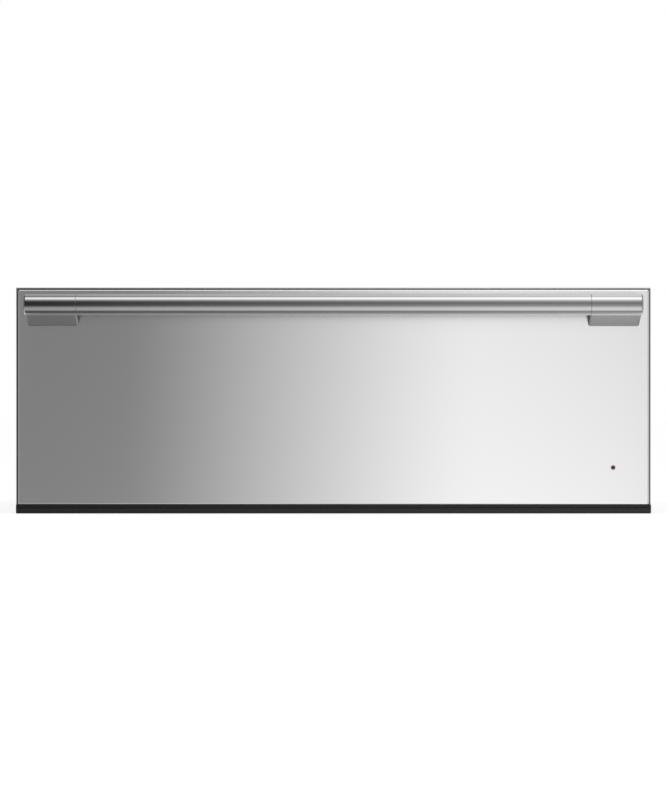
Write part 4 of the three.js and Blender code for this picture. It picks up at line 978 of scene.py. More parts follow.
@dataclass(frozen=True)
class DrawerFront:
    """The folded stainless skin of the front, its lamp lens and the sheets behind it."""

    sheet: float = 1.2 * MM
    bend: float = 1.8 * MM
    hem: float = 14 * MM
    corner: float = 2.0 * MM
    least_corner: float = 0.3 * MM
    lamp_hole: float = 2.4 * MM
    bolt_hole: float = 2.8 * MM
    lens_radius: float = 2.1 * MM
    lens_dome: float = 0.5 * MM
    lens_edge: float = 0.7 * MM
    lens_stand: float = 0.3 * MM
    collar_gap: float = 0.3 * MM
    rim_overlap: float = 0.2 * MM
    rim_reach: float = 0.7 * MM
    rim_height: float = 0.12 * MM

    def skin_ring(self, inset: float, y: float, face: Rect) -> Ring:
        """Gives the skin's outline at a distance inside the front's edge and at a depth y."""
        return upright(face.inset(inset).rounded(max(self.corner - inset, self.least_corner), 5), y)

    def build_skin(self) -> None:
        """Lofts the skin round its bends, over the hem and back inside, and cuts its round holes."""
        low, high = box_of("front_skin")
        face = Rect(low.x, high.x, low.z, high.z)
        front, back, bend, sheet = low.y, high.y, self.bend, self.sheet
        fore = [(bend + u, front + bend + v) for u, v in arc((0, 0), bend, 270, 180, 6)]
        rear = [(bend + u, back - bend + v) for u, v in arc((0, 0), bend, 180, 90, 4)]
        inside = [
            (self.hem, back),
            (self.hem, back - sheet),
            (bend, back - sheet),
            (sheet, back - bend),
            (sheet, front + bend),
            (bend, front + sheet),
        ]
        rings = [self.skin_ring(inset, y, face) for inset, y in (*fore, *rear, *inside)]
        skin = lofted("front_skin_folded", rings, Finishes.FRONT)
        holes = [self.hole("lamp_hole", "light_guide", self.lamp_hole, front)]
        for side in ("left", "right"):
            for place in ("inner", "outer"):
                holes.append(self.hole("bolt_hole", f"{side}_{place}_handle_bolt", self.bolt_hole, front))
        combined(skin, Meeting.CUT, holes)
        hand_over(shade(skin, sharp_above=28), Finishes.FRONT, "drawer", "front_skin")

    def hole(self, name: str, node: str, radius: float, front: float) -> Piece:
        """Makes the tool that drills the skin where a node passes through it.

        Args:
            name: The tool's name.
            node: The node.
            radius: The hole's radius.
            front: The depth of the front's face.

        Returns:
            The tool.
        """
        centre = line_of(node)[2]
        start, stop = front - self.sheet, front + 2 * self.sheet
        profile = [(0.0, start), (radius, start), (radius, stop), (0.0, stop)]
        return turned(name, profile, Axis.Y, centre, Finishes.FRONT)

    def build_lens(self) -> None:
        """Turns the lens: a low dome, its collar behind the skin and the rod back to the lamp."""
        low, high, centre = line_of("light_guide")
        radius, collar = self.lens_radius, (high.x - low.x) / 2
        behind = low.y + self.lens_stand + self.sheet + self.collar_gap
        # The dome's points, as angles from its axis in radians.
        angles = (0, 0.35, 0.7, 1.05, 1.4)
        dome = [(radius * math.sin(a), low.y + self.lens_dome * (1 - math.cos(a))) for a in angles]
        tip = [*dome, (radius, low.y + self.lens_edge)]
        profile = flanged(tip, collar, (behind, behind + self.sheet), radius, high.y)
        lens = turned("lamp_lens", profile, Axis.Y, centre, Finishes.LENS, steps=32)
        hand_over(shade(lens), Finishes.LENS, "drawer", "light_guide")

    def build_lens_rim(self) -> None:
        """Turns the thin rim that lies on the skin round the lens, whose pale rose colour paints the lamp's
        glow halo.
        """
        face, rise = box_of("front_skin")[0].y, self.rim_height
        inner, outer = self.lamp_hole - self.rim_overlap, self.lamp_hole + self.rim_reach
        profile = [(inner, face), (inner, face - rise), (outer - rise, face - rise), (outer, face)]
        centre = line_of("light_guide")[2]
        rim = turned("lens_rim", [*profile, profile[0]], Axis.Y, centre, Finishes.HALO_RIM, steps=32)
        hand_over(shade(rim), Finishes.HALO_RIM, "drawer")

    def build(self) -> None:
        """Builds the skin, the lens and its rim, and dresses the sheets behind them."""
        self.build_skin()
        self.build_lens()
        self.build_lens_rim()
        folded_copy("front_liner", Finishes.ALUMINISED, ease=0.2 * MM)
        dress(Finishes.WOOL, "front_insulation")
        folded_copy("moisture_guide", Finishes.BLACK, ease=0.2 * MM)
        folded_copy("moisture_slide", Finishes.SATIN, ease=0.15 * MM)


@dataclass(frozen=True)
class Handle:
    """The round bar and its two end mounts."""

    edge: float = 0.2 * MM
    end_edge: float = 2.4 * MM
    wall: float = 2 * MM
    spigot: float = 16 * MM
    spigot_play: float = 0.3 * MM
    neck_drop: float = 24.5 * MM
    neck_rise: float = 8 * MM
    neck_corner: float = 2.4 * MM
    # How far the neck drops at the bar, in the bar's radii, and the power that its drop grows by.
    neck_start: float = 0.94
    neck_curve: float = 1.6
    neck_steps: int = 16
    # A face of the neck whose normal lies along X by more than this share is on its side.
    side_facing: float = 0.9
    # The angles between faces, in degrees, above which an edge of the bar and of a mount stays sharp.
    bar_sharp: float = 40.0
    mount_sharp: float = 34.0
    steps: int = 96

    def axis(self) -> tuple[float, Pair]:
        """Gives the bar's radius and the (y, z) place of its centre line."""
        low, high = box_of("handle_bar")
        return (high.z - low.z) / 2, ((low.y + high.y) / 2, (low.z + high.z) / 2)

    def build_bar(self) -> None:
        """Turns the tube between the mounts."""
        radius, centre = self.axis()
        half = box_of("handle_bar")[1].x
        bore = radius - self.wall
        rim = radius - self.edge
        profile = [(bore, -half), (rim, -half), (radius, self.edge - half)]
        profile += [(radius, half - self.edge), (rim, half), (bore, half), (bore, -half)]
        bar = turned("bar_tube", profile, Axis.X, centre, Finishes.BAR, self.steps)
        hand_over(shade(bar, self.bar_sharp), Finishes.BAR, "drawer", "handle_bar")

    def build_mount(self, side: str) -> None:
        """Joins a mount's round body, its spigot and its neck, which sweeps down and back to the front.

        Args:
            side: "left" or "right".
        """
        sign = 1 if side == "right" else -1
        radius, centre = self.axis()
        low, high = box_of(f"{side}_handle_mount")
        inner = min(abs(low.x), abs(high.x)) + self.spigot
        outer = max(abs(low.x), abs(high.x))
        pin = radius - self.wall - self.spigot_play
        rounded = arc((outer - self.end_edge, radius - self.end_edge), self.end_edge, 90, 0, 8)
        half_profile = [
            (0.0, inner - self.spigot),
            (pin, inner - self.spigot),
            (pin, inner),
            (radius - self.edge, inner),
            (radius, inner + self.edge),
            *[(r, x) for x, r in rounded],
            (0.0, outer),
        ]
        profile = [(r, sign * x) for r, x in half_profile]
        body = turned(f"{side}_mount_turned", profile, Axis.X, centre, Finishes.BAR, self.steps)
        ends = sorted((sign * inner, sign * (outer - self.spigot_play)))
        neck = lofted("neck", self.neck_rings(ends, radius, centre, high.y), Finishes.BAR)
        combined(body, Meeting.JOIN, [neck])
        # The round body keeps the bar's finish, which is material 0.
        # The neck gets a darker copy of the same steel than the bar: painted shade.
        body.data.materials.append(Finishes.NECK.material())
        # The faces turned sideways get the darker side copy of the steel: painted shade.
        body.data.materials.append(Finishes.SHADED_SIDE.material())
        for face in body.data.polygons:
            off_axis = math.dist((face.center.y, face.center.z), centre)
            on_side = abs(face.normal.x) > self.side_facing
            face.material_index = int(off_axis > radius + self.edge) * (2 if on_side else 1)
        hand_over(shade(body, self.mount_sharp), Finishes.BAR, "drawer", f"{side}_handle_mount")

    def neck_rings(self, ends: Sequence[float], radius: float, centre: Pair, back: float) -> list[Ring]:
        """Gives the neck's sections from the front's face out to the bar's centre line.

        Args:
            ends: The x of its two sides.
            radius: The bar's radius.
            centre: The (y, z) place of the bar's centre line.
            back: The depth of the mount's face against the front.

        Returns:
            Rounded upright rings.
        """
        start = self.neck_start * radius
        rings = []
        for i in range(self.neck_steps + 1):
            t = i / self.neck_steps
            y = back + t * (centre[0] - back)
            drop = start + (self.neck_drop - start) * (1 - t) ** self.neck_curve
            section = Rect(ends[0], ends[1], centre[1] - drop, centre[1] + self.neck_rise)
            rings.append(upright(section.rounded(self.neck_corner), y))
        return rings

    def build(self) -> None:
        """Builds the bar and both mounts and dresses the bolts."""
        self.build_bar()
        for side in ("left", "right"):
            self.build_mount(side)
            dress(Finishes.ZINC, f"{side}_inner_handle_bolt", f"{side}_outer_handle_bolt")


# ---------------------------------------------------------------------------------------------------
# The face frame, what sits on it and the chassis
# ---------------------------------------------------------------------------------------------------


@dataclass(frozen=True)
class FaceFrame:
    """The frame on the cabinet's face, the trim under the front, the bulb seal and the lamp's LED."""

    seal_width: float = 6 * MM
    seal_lip: float = 0.5 * MM
    led_radius: float = 2.5 * MM
    led_flange: float = 3.7 * MM
    flange_from_back: float = 6 * MM
    flange_thickness: float = 1.2 * MM

    def build_seal(self) -> None:
        """Draws the bulb's section, a flat foot under a round crown, round the opening."""
        low, high = box_of("drawer_seal")
        half, height = self.seal_width / 2, high.y - low.y
        crown = arc((0.0, height - half), half, 0, 180, 10)
        section = [(half - self.seal_lip, 0.0), (half, self.seal_lip), *crown]
        section += [(-half, self.seal_lip), (self.seal_lip - half, 0.0)]
        middle = Rect(low.x, high.x, low.z, high.z).inset(half)
        path = upright(middle.rounded(self.seal_width, 8), high.y)
        seal = swept("bulb_seal", section, path, Vector((0, -1, 0)), Finishes.SEAL, looped=True)
        hand_over(shade(seal), Finishes.SEAL, "chassis", "drawer_seal")

    def build_led(self) -> None:
        """Turns the LED: a dome in front, a flange behind the frame and its body."""
        low, high, centre = line_of("indicator_led")
        radius, flange_y = self.led_radius, high.y - self.flange_from_back
        dome = [(r, y) for y, r in arc((low.y + radius, 0.0), radius, 180, 90, 6)]
        place = (flange_y, flange_y + self.flange_thickness)
        profile = flanged(dome, self.led_flange, place, radius, high.y)
        led = turned("lamp_led", profile, Axis.Y, centre, Finishes.LENS, steps=32)
        hand_over(shade(led), Finishes.LENS, "chassis", "indicator_led")

    def build(self) -> None:
        """Builds the seal and the LED, and eases the frame's and the trim's folded edges."""
        folded_copy("face_frame", Finishes.FRAME, ease=0.2 * MM)
        folded_copy("vent_trim", Finishes.TRIM, ease=0.3 * MM)
        self.build_seal()
        self.build_led()


@dataclass(frozen=True)
class Chassis:
    """The folded galvanised box, its screws, and the terminal block and relay board at its back."""

    screw_inset: float = 5.5 * MM
    rows: int = 4
    cover_screw_inset: float = 8 * MM
    cover_screw_depth: float = 1.7 * MM

    def build_screws(self) -> None:
        """Sets the screws that hold the top cover, the back panel and the terminal cover."""
        low, high = box_of("right_side_panel")
        top, back = box_of("top_cover")[1].z, box_of("back_panel")[1].y
        heads: list[Fastener] = []
        for side in (-1, 1):
            for row in range(self.rows):
                y = low.y + (high.y - low.y) * (row + 0.5) / self.rows
                heads.append(Fastener((side * (high.x - self.screw_inset), y, top), (0, 0, 1)))
                z = low.z + (high.z - low.z) * (row + 0.5) / self.rows
                heads.append(Fastener((side * (high.x - 2 * self.screw_inset), back, z), (0, 1, 0)))
        low, high = box_of("terminal_cover")
        inset = self.cover_screw_inset
        for x in (low.x + inset, high.x - inset):
            heads.append(Fastener((x, high.y - self.cover_screw_depth, low.z + inset), (0, 1, 0)))
        ScrewHeads("chassis_screws", heads).build(Finishes.ZINC, "chassis")

    def build(self) -> None:
        """Eases the folded panels, dresses the electrical parts and sets the screws."""
        sides = ("left_side_panel", "right_side_panel")
        for node in ("base_pan", *sides, "back_panel", "top_cover", "terminal_cover"):
            folded_copy(node, Finishes.GALVANISED)
        folded_copy("terminal_block", Finishes.WHITE, ease=0.3 * MM)
        dress(Finishes.BOARD, "relay_board")
        self.build_screws()


# ---------------------------------------------------------------------------------------------------
# The heated cavity
# ---------------------------------------------------------------------------------------------------


@dataclass(frozen=True)
class Cavity:
    """The liner, its insulation, the element on its supports, the probe and the thermal cut-out."""

    passes: int = 6
    pitch: float = 60 * MM
    sheath: float = 3.25 * MM
    lead_spacing: float = 44 * MM
    lead_tuck: float = 6 * MM
    sides: int = 16
    nut_gap: float = 0.3 * MM
    # The probe's blunt tip and its lead end, in its own radius.
    tip: float = 0.7
    lead_end: float = 0.8

    def element_path(self) -> tuple[list[Pair], float]:
        """Works out the element's centre line: in at the back, to and fro, and out at the back.

        Returns:
            The line's (x, y) points and its height.
        """
        low, high = box_of("heating_element")
        bend = self.pitch / 2
        leg = high.x - self.sheath - bend
        first_y = low.y + self.sheath
        last_lead = leg + bend - self.lead_tuck
        first_lead = last_lead + self.lead_spacing
        last_y = first_y + (self.passes - 1) * self.pitch
        tuck = last_lead - leg
        points: list[Pair] = [(-first_lead, high.y)]
        points += arc((bend - first_lead, first_y + bend), bend, 180, 270, 8)
        for turn in range(self.passes - 1):
            side, y = (1, -1)[turn % 2], first_y + (turn + 0.5) * self.pitch
            points += [(side * (leg + u), y + v) for u, v in arc((0, 0), bend, -90, 90, 16)]
        points += arc((-leg, last_y + tuck), tuck, 270, 180, 8)
        points.append((-last_lead, high.y))
        return points, (low.z + high.z) / 2

    def build_element(self) -> None:
        """Draws the round sheath along the element's line."""
        outline, z = self.element_path()
        section = arc((0.0, 0.0), self.sheath, 0, 360, self.sides)[:-1]
        path, up = level(outline, z), Vector((0, 0, 1))
        element = swept("element_sheath", section, path, up, Finishes.SHEATH, looped=False)
        hand_over(shade(element, sharp_above=60), Finishes.SHEATH, "chassis", "heating_element")

    def build_probe(self) -> None:
        """Turns the temperature probe with its nut and lead end."""
        low, high, centre = line_of("temperature_probe")
        nut = box_of("cavity_back")[1].y + self.nut_gap
        radius = (high.x - low.x) / 4
        tip = [(0.0, low.y), (radius * self.tip, low.y), (radius, low.y + radius)]
        profile = flanged(tip, 2 * radius, (nut, nut + radius), radius * self.lead_end, high.y)
        probe = turned("probe_turned", profile, Axis.Y, centre, Finishes.SATIN, steps=24)
        hand_over(shade(probe), Finishes.SATIN, "chassis", "temperature_probe")

    def build(self) -> None:
        """Builds the element and the probe and dresses the sheets and boards."""
        for node in ("cavity_liner", "cavity_back", "heat_reflector"):
            folded_copy(node, Finishes.ALUMINISED)
        for side in ("left", "right"):
            folded_copy(f"{side}_element_support", Finishes.ALUMINISED, ease=0.15 * MM)
        dress(Finishes.WOOL, "floor_insulation", "roof_insulation")
        folded_copy("thermal_cutout", Finishes.BLACK, ease=0.2 * MM)
        self.build_element()
        self.build_probe()


# ---------------------------------------------------------------------------------------------------
# The hidden controls
# ---------------------------------------------------------------------------------------------------


class Use(Enum):
    """What each push button does, which its printed symbol says."""

    POWER = "power"
    MODE = "mode"
    MINUS = "minus"
    PLUS = "plus"
    TIMER = "timer"


@dataclass(frozen=True)
class Controls:
    """The gloss fascia on the frame's top rail, its five buttons with their symbols, and the parts behind."""

    cap: float = 5.7 * MM
    collar: float = 6.5 * MM
    collar_gap: float = 0.3 * MM
    collar_thickness: float = 1.2 * MM
    stem: float = 2.5 * MM
    edge: float = 0.6 * MM
    stroke: float = 0.7 * MM
    print_depth: float = 0.04 * MM
    # The radius of a symbol. The sizes below are shares of it.
    size: float = 2.6 * MM
    sign_arm: float = 0.9
    heat_sway: float = 0.22
    heat_spacing: float = 0.7
    # Half of the gap at the power symbol's top, in degrees.
    power_gap: float = 35

    def symbol(self, use: Use) -> list[list[Pair]]:
        """Gives a button's symbol as lines drawn in a circle of radius 1.

        Args:
            use: What the button does.

        Returns:
            The lines: a broken ring and a stroke, three rising waves, a minus, a plus or a clock.
        """
        arm, sway, gap = self.sign_arm, self.heat_sway, self.power_gap
        if use is Use.POWER:
            return [arc((0, 0), 1.0, 90 + gap, 450 - gap, 20), [(0, 0.35), (0, 1.15)]]
        if use is Use.MODE:
            wave = [(sway * math.sin(2 * math.pi * t / 12), t / 6 - 1) for t in range(13)]
            shifts = (-self.heat_spacing, 0.0, self.heat_spacing)
            return [[(x + shift, z) for x, z in wave] for shift in shifts]
        if use is Use.MINUS:
            return [[(-arm, 0), (arm, 0)]]
        if use is Use.PLUS:
            # The upright bar stops at the level one's edges, so that no two faces share a place.
            half = self.stroke / 2 / self.size
            return [[(-arm, 0), (arm, 0)], [(0, -arm), (0, -half)], [(0, half), (0, arm)]]
        return [arc((0, 0), 1.0, 0, 360, 24), [(0, 0.6), (0, 0), (0.45, 0)]]

    def ribbon(self, line: list[Pair], centre: Pair, front: float) -> tuple[list[Point], Faces]:
        """Turns a line into a thin flat bar of print on the button's face.

        Args:
            line: The line's points.
            centre: The button's (x, z) centre.
            front: The depth of the print's face.

        Returns:
            Its points and faces.
        """
        points: list[Point] = []
        for i, here in enumerate(line):
            before, after = Vector(line[max(i - 1, 0)]), Vector(line[min(i + 1, len(line) - 1)])
            along = (after - before).normalized()
            across = Vector((-along.y, along.x)) * (self.stroke / 2)
            for shift in (across, -across):
                spot = Vector(here) * self.size + shift + Vector(centre)
                points += [(spot.x, front, spot.y), (spot.x, front + self.print_depth, spot.y)]
        faces: Faces = [(0, 1, 3, 2)]
        for i in range(len(line) - 1):
            a, b = 4 * i, 4 * i + 4
            faces += [(a, a + 2, b + 2, b), (a + 1, b + 1, b + 3, a + 3), (a, b, b + 1, a + 1)]
            faces.append((a + 2, a + 3, b + 3, b + 2))
        faces.append((b, b + 2, b + 3, b + 1))
        return points, faces

    def build_button(self, use: Use) -> None:
        """Turns a button's cap, collar and stem, and prints its symbol on the cap.

        Args:
            use: What the button does.
        """
        node = f"{use.value}_button"
        low, high, centre = line_of(node)
        collar_y = box_of("control_fascia")[1].y + self.collar_gap
        rounding = arc((low.y + self.edge, self.cap - self.edge), self.edge, 180, 90, 4)
        tip = [(0.0, low.y), (self.cap - self.edge, low.y), *[(r, y) for y, r in rounding]]
        place = (collar_y, collar_y + self.collar_thickness)
        profile = flanged(tip, self.collar, place, self.stem, high.y)
        button = turned(f"{use.value}_cap", profile, Axis.Y, centre, Finishes.BUTTON, steps=40)
        hand_over(shade(button), Finishes.BUTTON, body_of(node), node)
        points: list[Point] = []
        faces: Faces = []
        for line in self.symbol(use):
            more, sides = self.ribbon(line, centre, low.y - self.print_depth)
            faces += [tuple(i + len(points) for i in side) for side in sides]
            points += more
        mark = shell(f"{use.value}_symbol", points, faces, Finishes.PRINT)
        hand_over(mark, Finishes.PRINT, body_of(node))

    def build(self) -> None:
        """Builds the buttons and dresses the fascia, the housing and the board."""
        folded_copy("control_fascia", Finishes.FASCIA, ease=0.5 * MM)
        folded_copy("control_housing", Finishes.BLACK, ease=0.3 * MM)
        dress(Finishes.BOARD, "control_board")
        for use in Use:
            self.build_button(use)


# ---------------------------------------------------------------------------------------------------
# Slides, drawer box, pan and rack
# ---------------------------------------------------------------------------------------------------


@dataclass(frozen=True)
class Slides:
    """The two telescopic slides: rails, and a cage of steel balls in each of their gaps."""

    ball: float = 1.9 * MM
    web: float = 0.5 * MM
    rib: float = 0.8 * MM
    outer_race: float = 19.8 * MM
    inner_race: float = 14.6 * MM
    balls: int = 14
    # How much of a cage's length its ends leave free of balls, in ball radii.
    free_ends: float = 8

    def build_cage(self, node: str, race: float) -> None:
        """Grows a cage: a thin web with a rib along each race, and a row of balls in each rib.

        Args:
            node: The cage's node.
            race: How far each row lies above or below the slide's middle.
        """
        low, high = box_of(node)
        side = 1 if low.x > 0 else -1
        web_x = high.x if side > 0 else low.x
        middle = (low + high) / 2
        run = high.y - low.y - self.free_ends * self.ball
        pitch = run / (self.balls - 1)
        grower = Grower(
            f"{node}_balls", Finishes.BALL, ball_radius=self.ball, balls=self.balls, pitch=pitch, race=race
        )
        given = grower.given
        step = grower.add("ShaderNodeCombineXYZ", {"Y": given["pitch"]})
        rows = []
        for sign in (-1.0, 1.0):
            offset = grower.add("ShaderNodeMath", {0: given["race"], 1: sign}, operation="MULTIPLY")
            rise = grower.add("ShaderNodeMath", {0: offset, 1: middle.z}, operation="ADD")
            first = {"X": web_x - side * 2 * self.ball, "Y": middle.y - run / 2, "Z": rise}
            start = grower.add("ShaderNodeCombineXYZ", first)
            spots = {"Count": given["balls"], "Start Location": start, "Offset": step}
            rows.append(grower.add("GeometryNodeMeshLine", spots, mode="OFFSET"))
        points = grower.add("GeometryNodeJoinGeometry", {0: rows})
        shape = {"Segments": 14, "Rings": 9, "Radius": given["ball_radius"]}
        sphere = grower.add("GeometryNodeMeshUVSphere", shape)
        spread = grower.add("GeometryNodeInstanceOnPoints", {"Points": points, "Instance": sphere})
        balls = grower.grown(spread, bpy.data.meshes.new(node))
        strips = self.strips(node, web_x, side, race)
        hand_over(balls, Finishes.BALL, body_of(node))
        hand_over(strips, Finishes.ZINC, body_of(node), node)

    def strips(self, node: str, web_x: float, side: int, race: float) -> Piece:
        """Joins a cage's web and its two ribs.

        Args:
            node: The cage's node.
            web_x: Where the web's face against the rail lies.
            side: 1 on the right and -1 on the left.
            race: How far each rib lies above or below the middle.

        Returns:
            The folded strip.
        """
        low, high = box_of(node)
        middle, length = (low + high) / 2, high.y - low.y
        y0, y1 = middle.y - length / 2, middle.y + length / 2
        near, far = sorted((web_x, web_x - side * self.web))
        ends = (near, y0, middle.z - race), (far, y1, middle.z + race)
        strip = block(f"{node}_strip", *ends, Finishes.ZINC)
        x0, x1 = sorted((web_x, web_x - side * (3 * self.ball + self.rib)))
        half = self.rib / 2
        ribs = []
        for z in (middle.z - race, middle.z + race):
            ribs.append(block("rib", (x0, y0, z - half), (x1, y1, z + half), Finishes.ZINC))
        return shade(combined(strip, Meeting.JOIN, ribs))

    def build(self) -> None:
        """Eases the rails and grows the four cages."""
        for side in ("left", "right"):
            for rail in ("cabinet_rail", "middle_rail", "drawer_rail"):
                folded_copy(f"{side}_{rail}", Finishes.ZINC, ease=0.2 * MM)
            self.build_cage(f"{side}_outer_cage", self.outer_race)
            self.build_cage(f"{side}_inner_cage", self.inner_race)


@dataclass(frozen=True)
class DrawerBox:
    """The drawer's sides and back, the deep-drawn pan that lifts out, and the rack in it."""

    sheet: float = 1 * MM
    rim: float = 11 * MM
    corner: float = 34 * MM
    least_corner: float = 2 * MM
    draft: float = 5 * MM
    floor_bend: float = 9 * MM
    rim_bend: float = 3 * MM
    rack_pitch: float = 19 * MM
    rack_wire: float = 2 * MM
    rack_frame: float = 3 * MM
    rack_corner: float = 22 * MM
    tab_screws: tuple[float, ...] = (0.3, 0.55, 0.8)
    tab_screw_inset: float = 7 * MM
    tab_thickness: float = 1.2 * MM

    def pan_surface(self, inside: float) -> list[Pair]:
        """Gives one surface of the pan from its floor to its rim, as (inset, rise) pairs.

        Args:
            inside: How far the surface lies inside the pan's outer one: nothing, or the sheet's thickness.

        Returns:
            The inset from the body's outline at rim height, and the height above the outer floor.
        """
        low, high = box_of("warming_pan")
        bend = self.floor_bend - inside
        rise = high.z - low.z - self.sheet + inside
        inset = self.draft + inside
        turn_down = self.rim_bend - inside
        floor = [(inset + bend - u, inside + bend + v) for u, v in arc((0, 0), bend, 270, 360, 6)]
        neck = [(inside - turn_down + u, rise - turn_down + v) for u, v in arc((0, 0), turn_down, 0, 90, 5)]
        return [*floor, *neck]

    def build_pan(self) -> None:
        """Lofts the pan: up the inside, over the rim and its rolled edge, and down the outside."""
        low, high = box_of("warming_pan")
        body = Rect(low.x, high.x, low.y, high.y).inset(self.rim)
        tall, half = high.z - low.z, self.sheet / 2
        edge = [(half - self.rim, tall), (-self.rim, tall - half), (half - self.rim, tall - self.sheet)]
        wall = [*self.pan_surface(self.sheet), *edge, *self.pan_surface(0.0)[::-1]]
        rings = []
        for inset, rise in wall:
            outline = body.inset(inset).rounded(max(self.corner - inset, self.least_corner), 12)
            rings.append(level(outline, low.z + rise))
        pan = lofted("pan_deep_drawn", rings, Finishes.PAN)
        hand_over(shade(pan, sharp_above=50), Finishes.PAN, "drawer", "warming_pan")

    def build_rack(self) -> None:
        """Grows the rack: a round frame, close wires across it, three stays below and four feet."""
        low, high = box_of("wire_rack")
        wire, frame_wire, pitch = self.rack_wire, self.rack_frame, self.rack_pitch
        frame_z, middle_y = high.z - 2 * wire, (low.y + high.y) / 2
        left, right = low.x + frame_wire, high.x - frame_wire
        width, depth = right - left, high.y - frame_wire - (low.y + frame_wire)
        wires = int((width - 2 * pitch) / pitch) + 1
        grower = Grower(
            "wire_rack_rods",
            Finishes.PAN,
            width=width,
            depth=depth,
            corner=self.rack_corner,
            pitch=pitch,
            wires=wires,
            wire_radius=wire,
            frame_radius=frame_wire,
        )
        given = grower.given
        circle = "GeometryNodeCurvePrimitiveCircle"
        thin = grower.add(circle, {"Resolution": 10, "Radius": given["wire_radius"]})
        thick = grower.add(circle, {"Resolution": 14, "Radius": given["frame_radius"]})
        sides = {"Width": given["width"], "Height": given["depth"]}
        square = grower.add("GeometryNodeCurvePrimitiveQuadrilateral", sides)
        corners = {"Curve": square, "Count": 10, "Radius": given["corner"]}
        bent = grower.add("GeometryNodeFilletCurve", corners, mode="POLY")
        lift = {"Geometry": bent, "Translation": (0.0, middle_y, frame_z)}
        ring = grower.add("GeometryNodeTransform", lift)
        parts = [grower.add("GeometryNodeCurveToMesh", {"Curve": ring, "Profile Curve": thick})]
        reach = depth / 2 + frame_wire / 2
        rod = self.rod(grower, (0.0, -reach, 0.0), (0.0, reach, 0.0), thin)
        step = grower.add("ShaderNodeCombineXYZ", {"X": given["pitch"]})
        first = (-(wires - 1) / 2 * pitch, middle_y, frame_z + wire)
        parts.append(self.row(grower, rod, given["wires"], first, step))
        # Three stays lie a quarter of the depth apart, and two feet a side half of it apart.
        half = width / 2 + frame_wire / 2
        stay = self.rod(grower, (-half, 0.0, 0.0), (half, 0.0, 0.0), thin)
        first = (0.0, middle_y - depth / 4, frame_z - wire)
        parts.append(self.row(grower, stay, 3, first, self.step_back(grower, 0.25)))
        foot = self.rod(grower, (0.0, 0.0, low.z), (0.0, 0.0, frame_z), thick)
        for x in (left + frame_wire, right - frame_wire):
            first = (x, middle_y - depth / 4, 0.0)
            parts.append(self.row(grower, foot, 2, first, self.step_back(grower, 0.5)))
        whole = grower.add("GeometryNodeJoinGeometry", {0: parts})
        rack = grower.grown(whole, bpy.data.meshes.new("wire_rack_rods"))
        hand_over(rack, Finishes.PAN, "drawer", "wire_rack")

    def step_back(self, grower: Grower, share: float) -> Node:
        """Adds a step toward the back by a share of the rack's depth."""
        length = grower.add("ShaderNodeMath", {0: grower.given["depth"], 1: share}, operation="MULTIPLY")
        return grower.add("ShaderNodeCombineXYZ", {"Y": length})

    def rod(self, grower: Grower, start: Point, end: Point, profile: Node) -> Node:
        """Adds a straight capped rod between two points."""
        line = grower.add("GeometryNodeCurvePrimitiveLine", {"Start": start, "End": end})
        drawn = {"Curve": line, "Profile Curve": profile, "Fill Caps": True}
        return grower.add("GeometryNodeCurveToMesh", drawn)

    def row(self, grower: Grower, rod: Node, count: int | Socket, start: Point, step: Node) -> Node:
        """Repeats a rod from a start by a step."""
        spots = {"Count": count, "Start Location": start, "Offset": step}
        line = grower.add("GeometryNodeMeshLine", spots, mode="OFFSET")
        return grower.add("GeometryNodeInstanceOnPoints", {"Points": line, "Instance": rod})

    def build_screws(self) -> None:
        """Sets the screws that hold the front to the drawer's sides."""
        low, high = box_of("right_drawer_side")
        x, y = low.x + self.tab_screw_inset, low.y + self.tab_thickness
        heads = [
            Fastener((side * x, y, low.z + share * (high.z - low.z)), (0, 1, 0))
            for side in (-1, 1)
            for share in self.tab_screws
        ]
        ScrewHeads("drawer_screws", heads).build(Finishes.ZINC, "drawer")

    def build(self) -> None:
        """Eases the box's sheets and builds the pan, the rack and the screws."""
        for node in ("left_drawer_side", "right_drawer_side", "drawer_back"):
            folded_copy(node, Finishes.SATIN)
        self.build_pan()
        self.build_rack()
        self.build_screws()


# ---------------------------------------------------------------------------------------------------
# The studio
# ---------------------------------------------------------------------------------------------------


@dataclass(frozen=True)
class Card:
    """A reflector card's brightness along it, as (place, brightness) pairs that blend into each other."""

    lights: Sequence[Pair]

    def ramp(self, tree: Tree, value: Socket, low: float, high: float, peak: float) -> Socket:
        """Adds a ramp that gives the card's brightness at a place.

        Args:
            tree: The card's shader tree.
            value: The place along the card.
            low: The place where the ramp begins.
            high: The place where it ends.
            peak: The brightness that the ramp gives as white.

        Returns:
            The brightness as a grey, as a share of peak.
        """
        share = add_node(tree, "ShaderNodeMapRange", {"Value": value, "From Min": low, "From Max": high})
        ramp = add_node(tree, "ShaderNodeValToRGB", {"Fac": share})
        stops = ramp.color_ramp.elements
        while len(stops) < len(self.lights):
            stops.new(1.0)
        for stop, (place, strength) in zip(stops, self.lights):
            stop.position = (place - low) / (high - low)
            stop.color = (*[strength / peak] * 3, 1.0)
        return ramp.outputs["Color"]


@dataclass(frozen=True)
class Strip:
    """A strip of the curved card: its elevation in degrees, and its brightness at the left and the right."""

    elevation: float
    left: float
    right: float


# From low behind the handle's bar, past the user's side at 0, to straight up at 90 and over.
CURVED_CARD = (
    # The lit floor behind, and the dark gap below the bar.
    Strip(-130, 1.8, 2.5),
    Strip(-100, 0.1, 0.8),
    Strip(-88, 0.0, 0.3),
    # A low reflector.
    Strip(-60, 0.5, 1.4),
    Strip(-40, 0.5, 1.4),
    # The dark end of the room, where the camera stands.
    Strip(-15, 0.0, 0.7),
    Strip(10, 0.0, 0.4),
    Strip(30, 0.0, 0.6),
    Strip(45, 0.3, 1.2),
    # The main strip light overhead.
    Strip(60, 1.3, 2.0),
    Strip(72, 1.7, 2.2),
    # A gap, and a weaker strip light behind it.
    Strip(90, 0.2, 1.3),
    Strip(105, 0.3, 1.0),
    Strip(120, 0.8, 1.6),
    Strip(145, 0.3, 0.8),
)
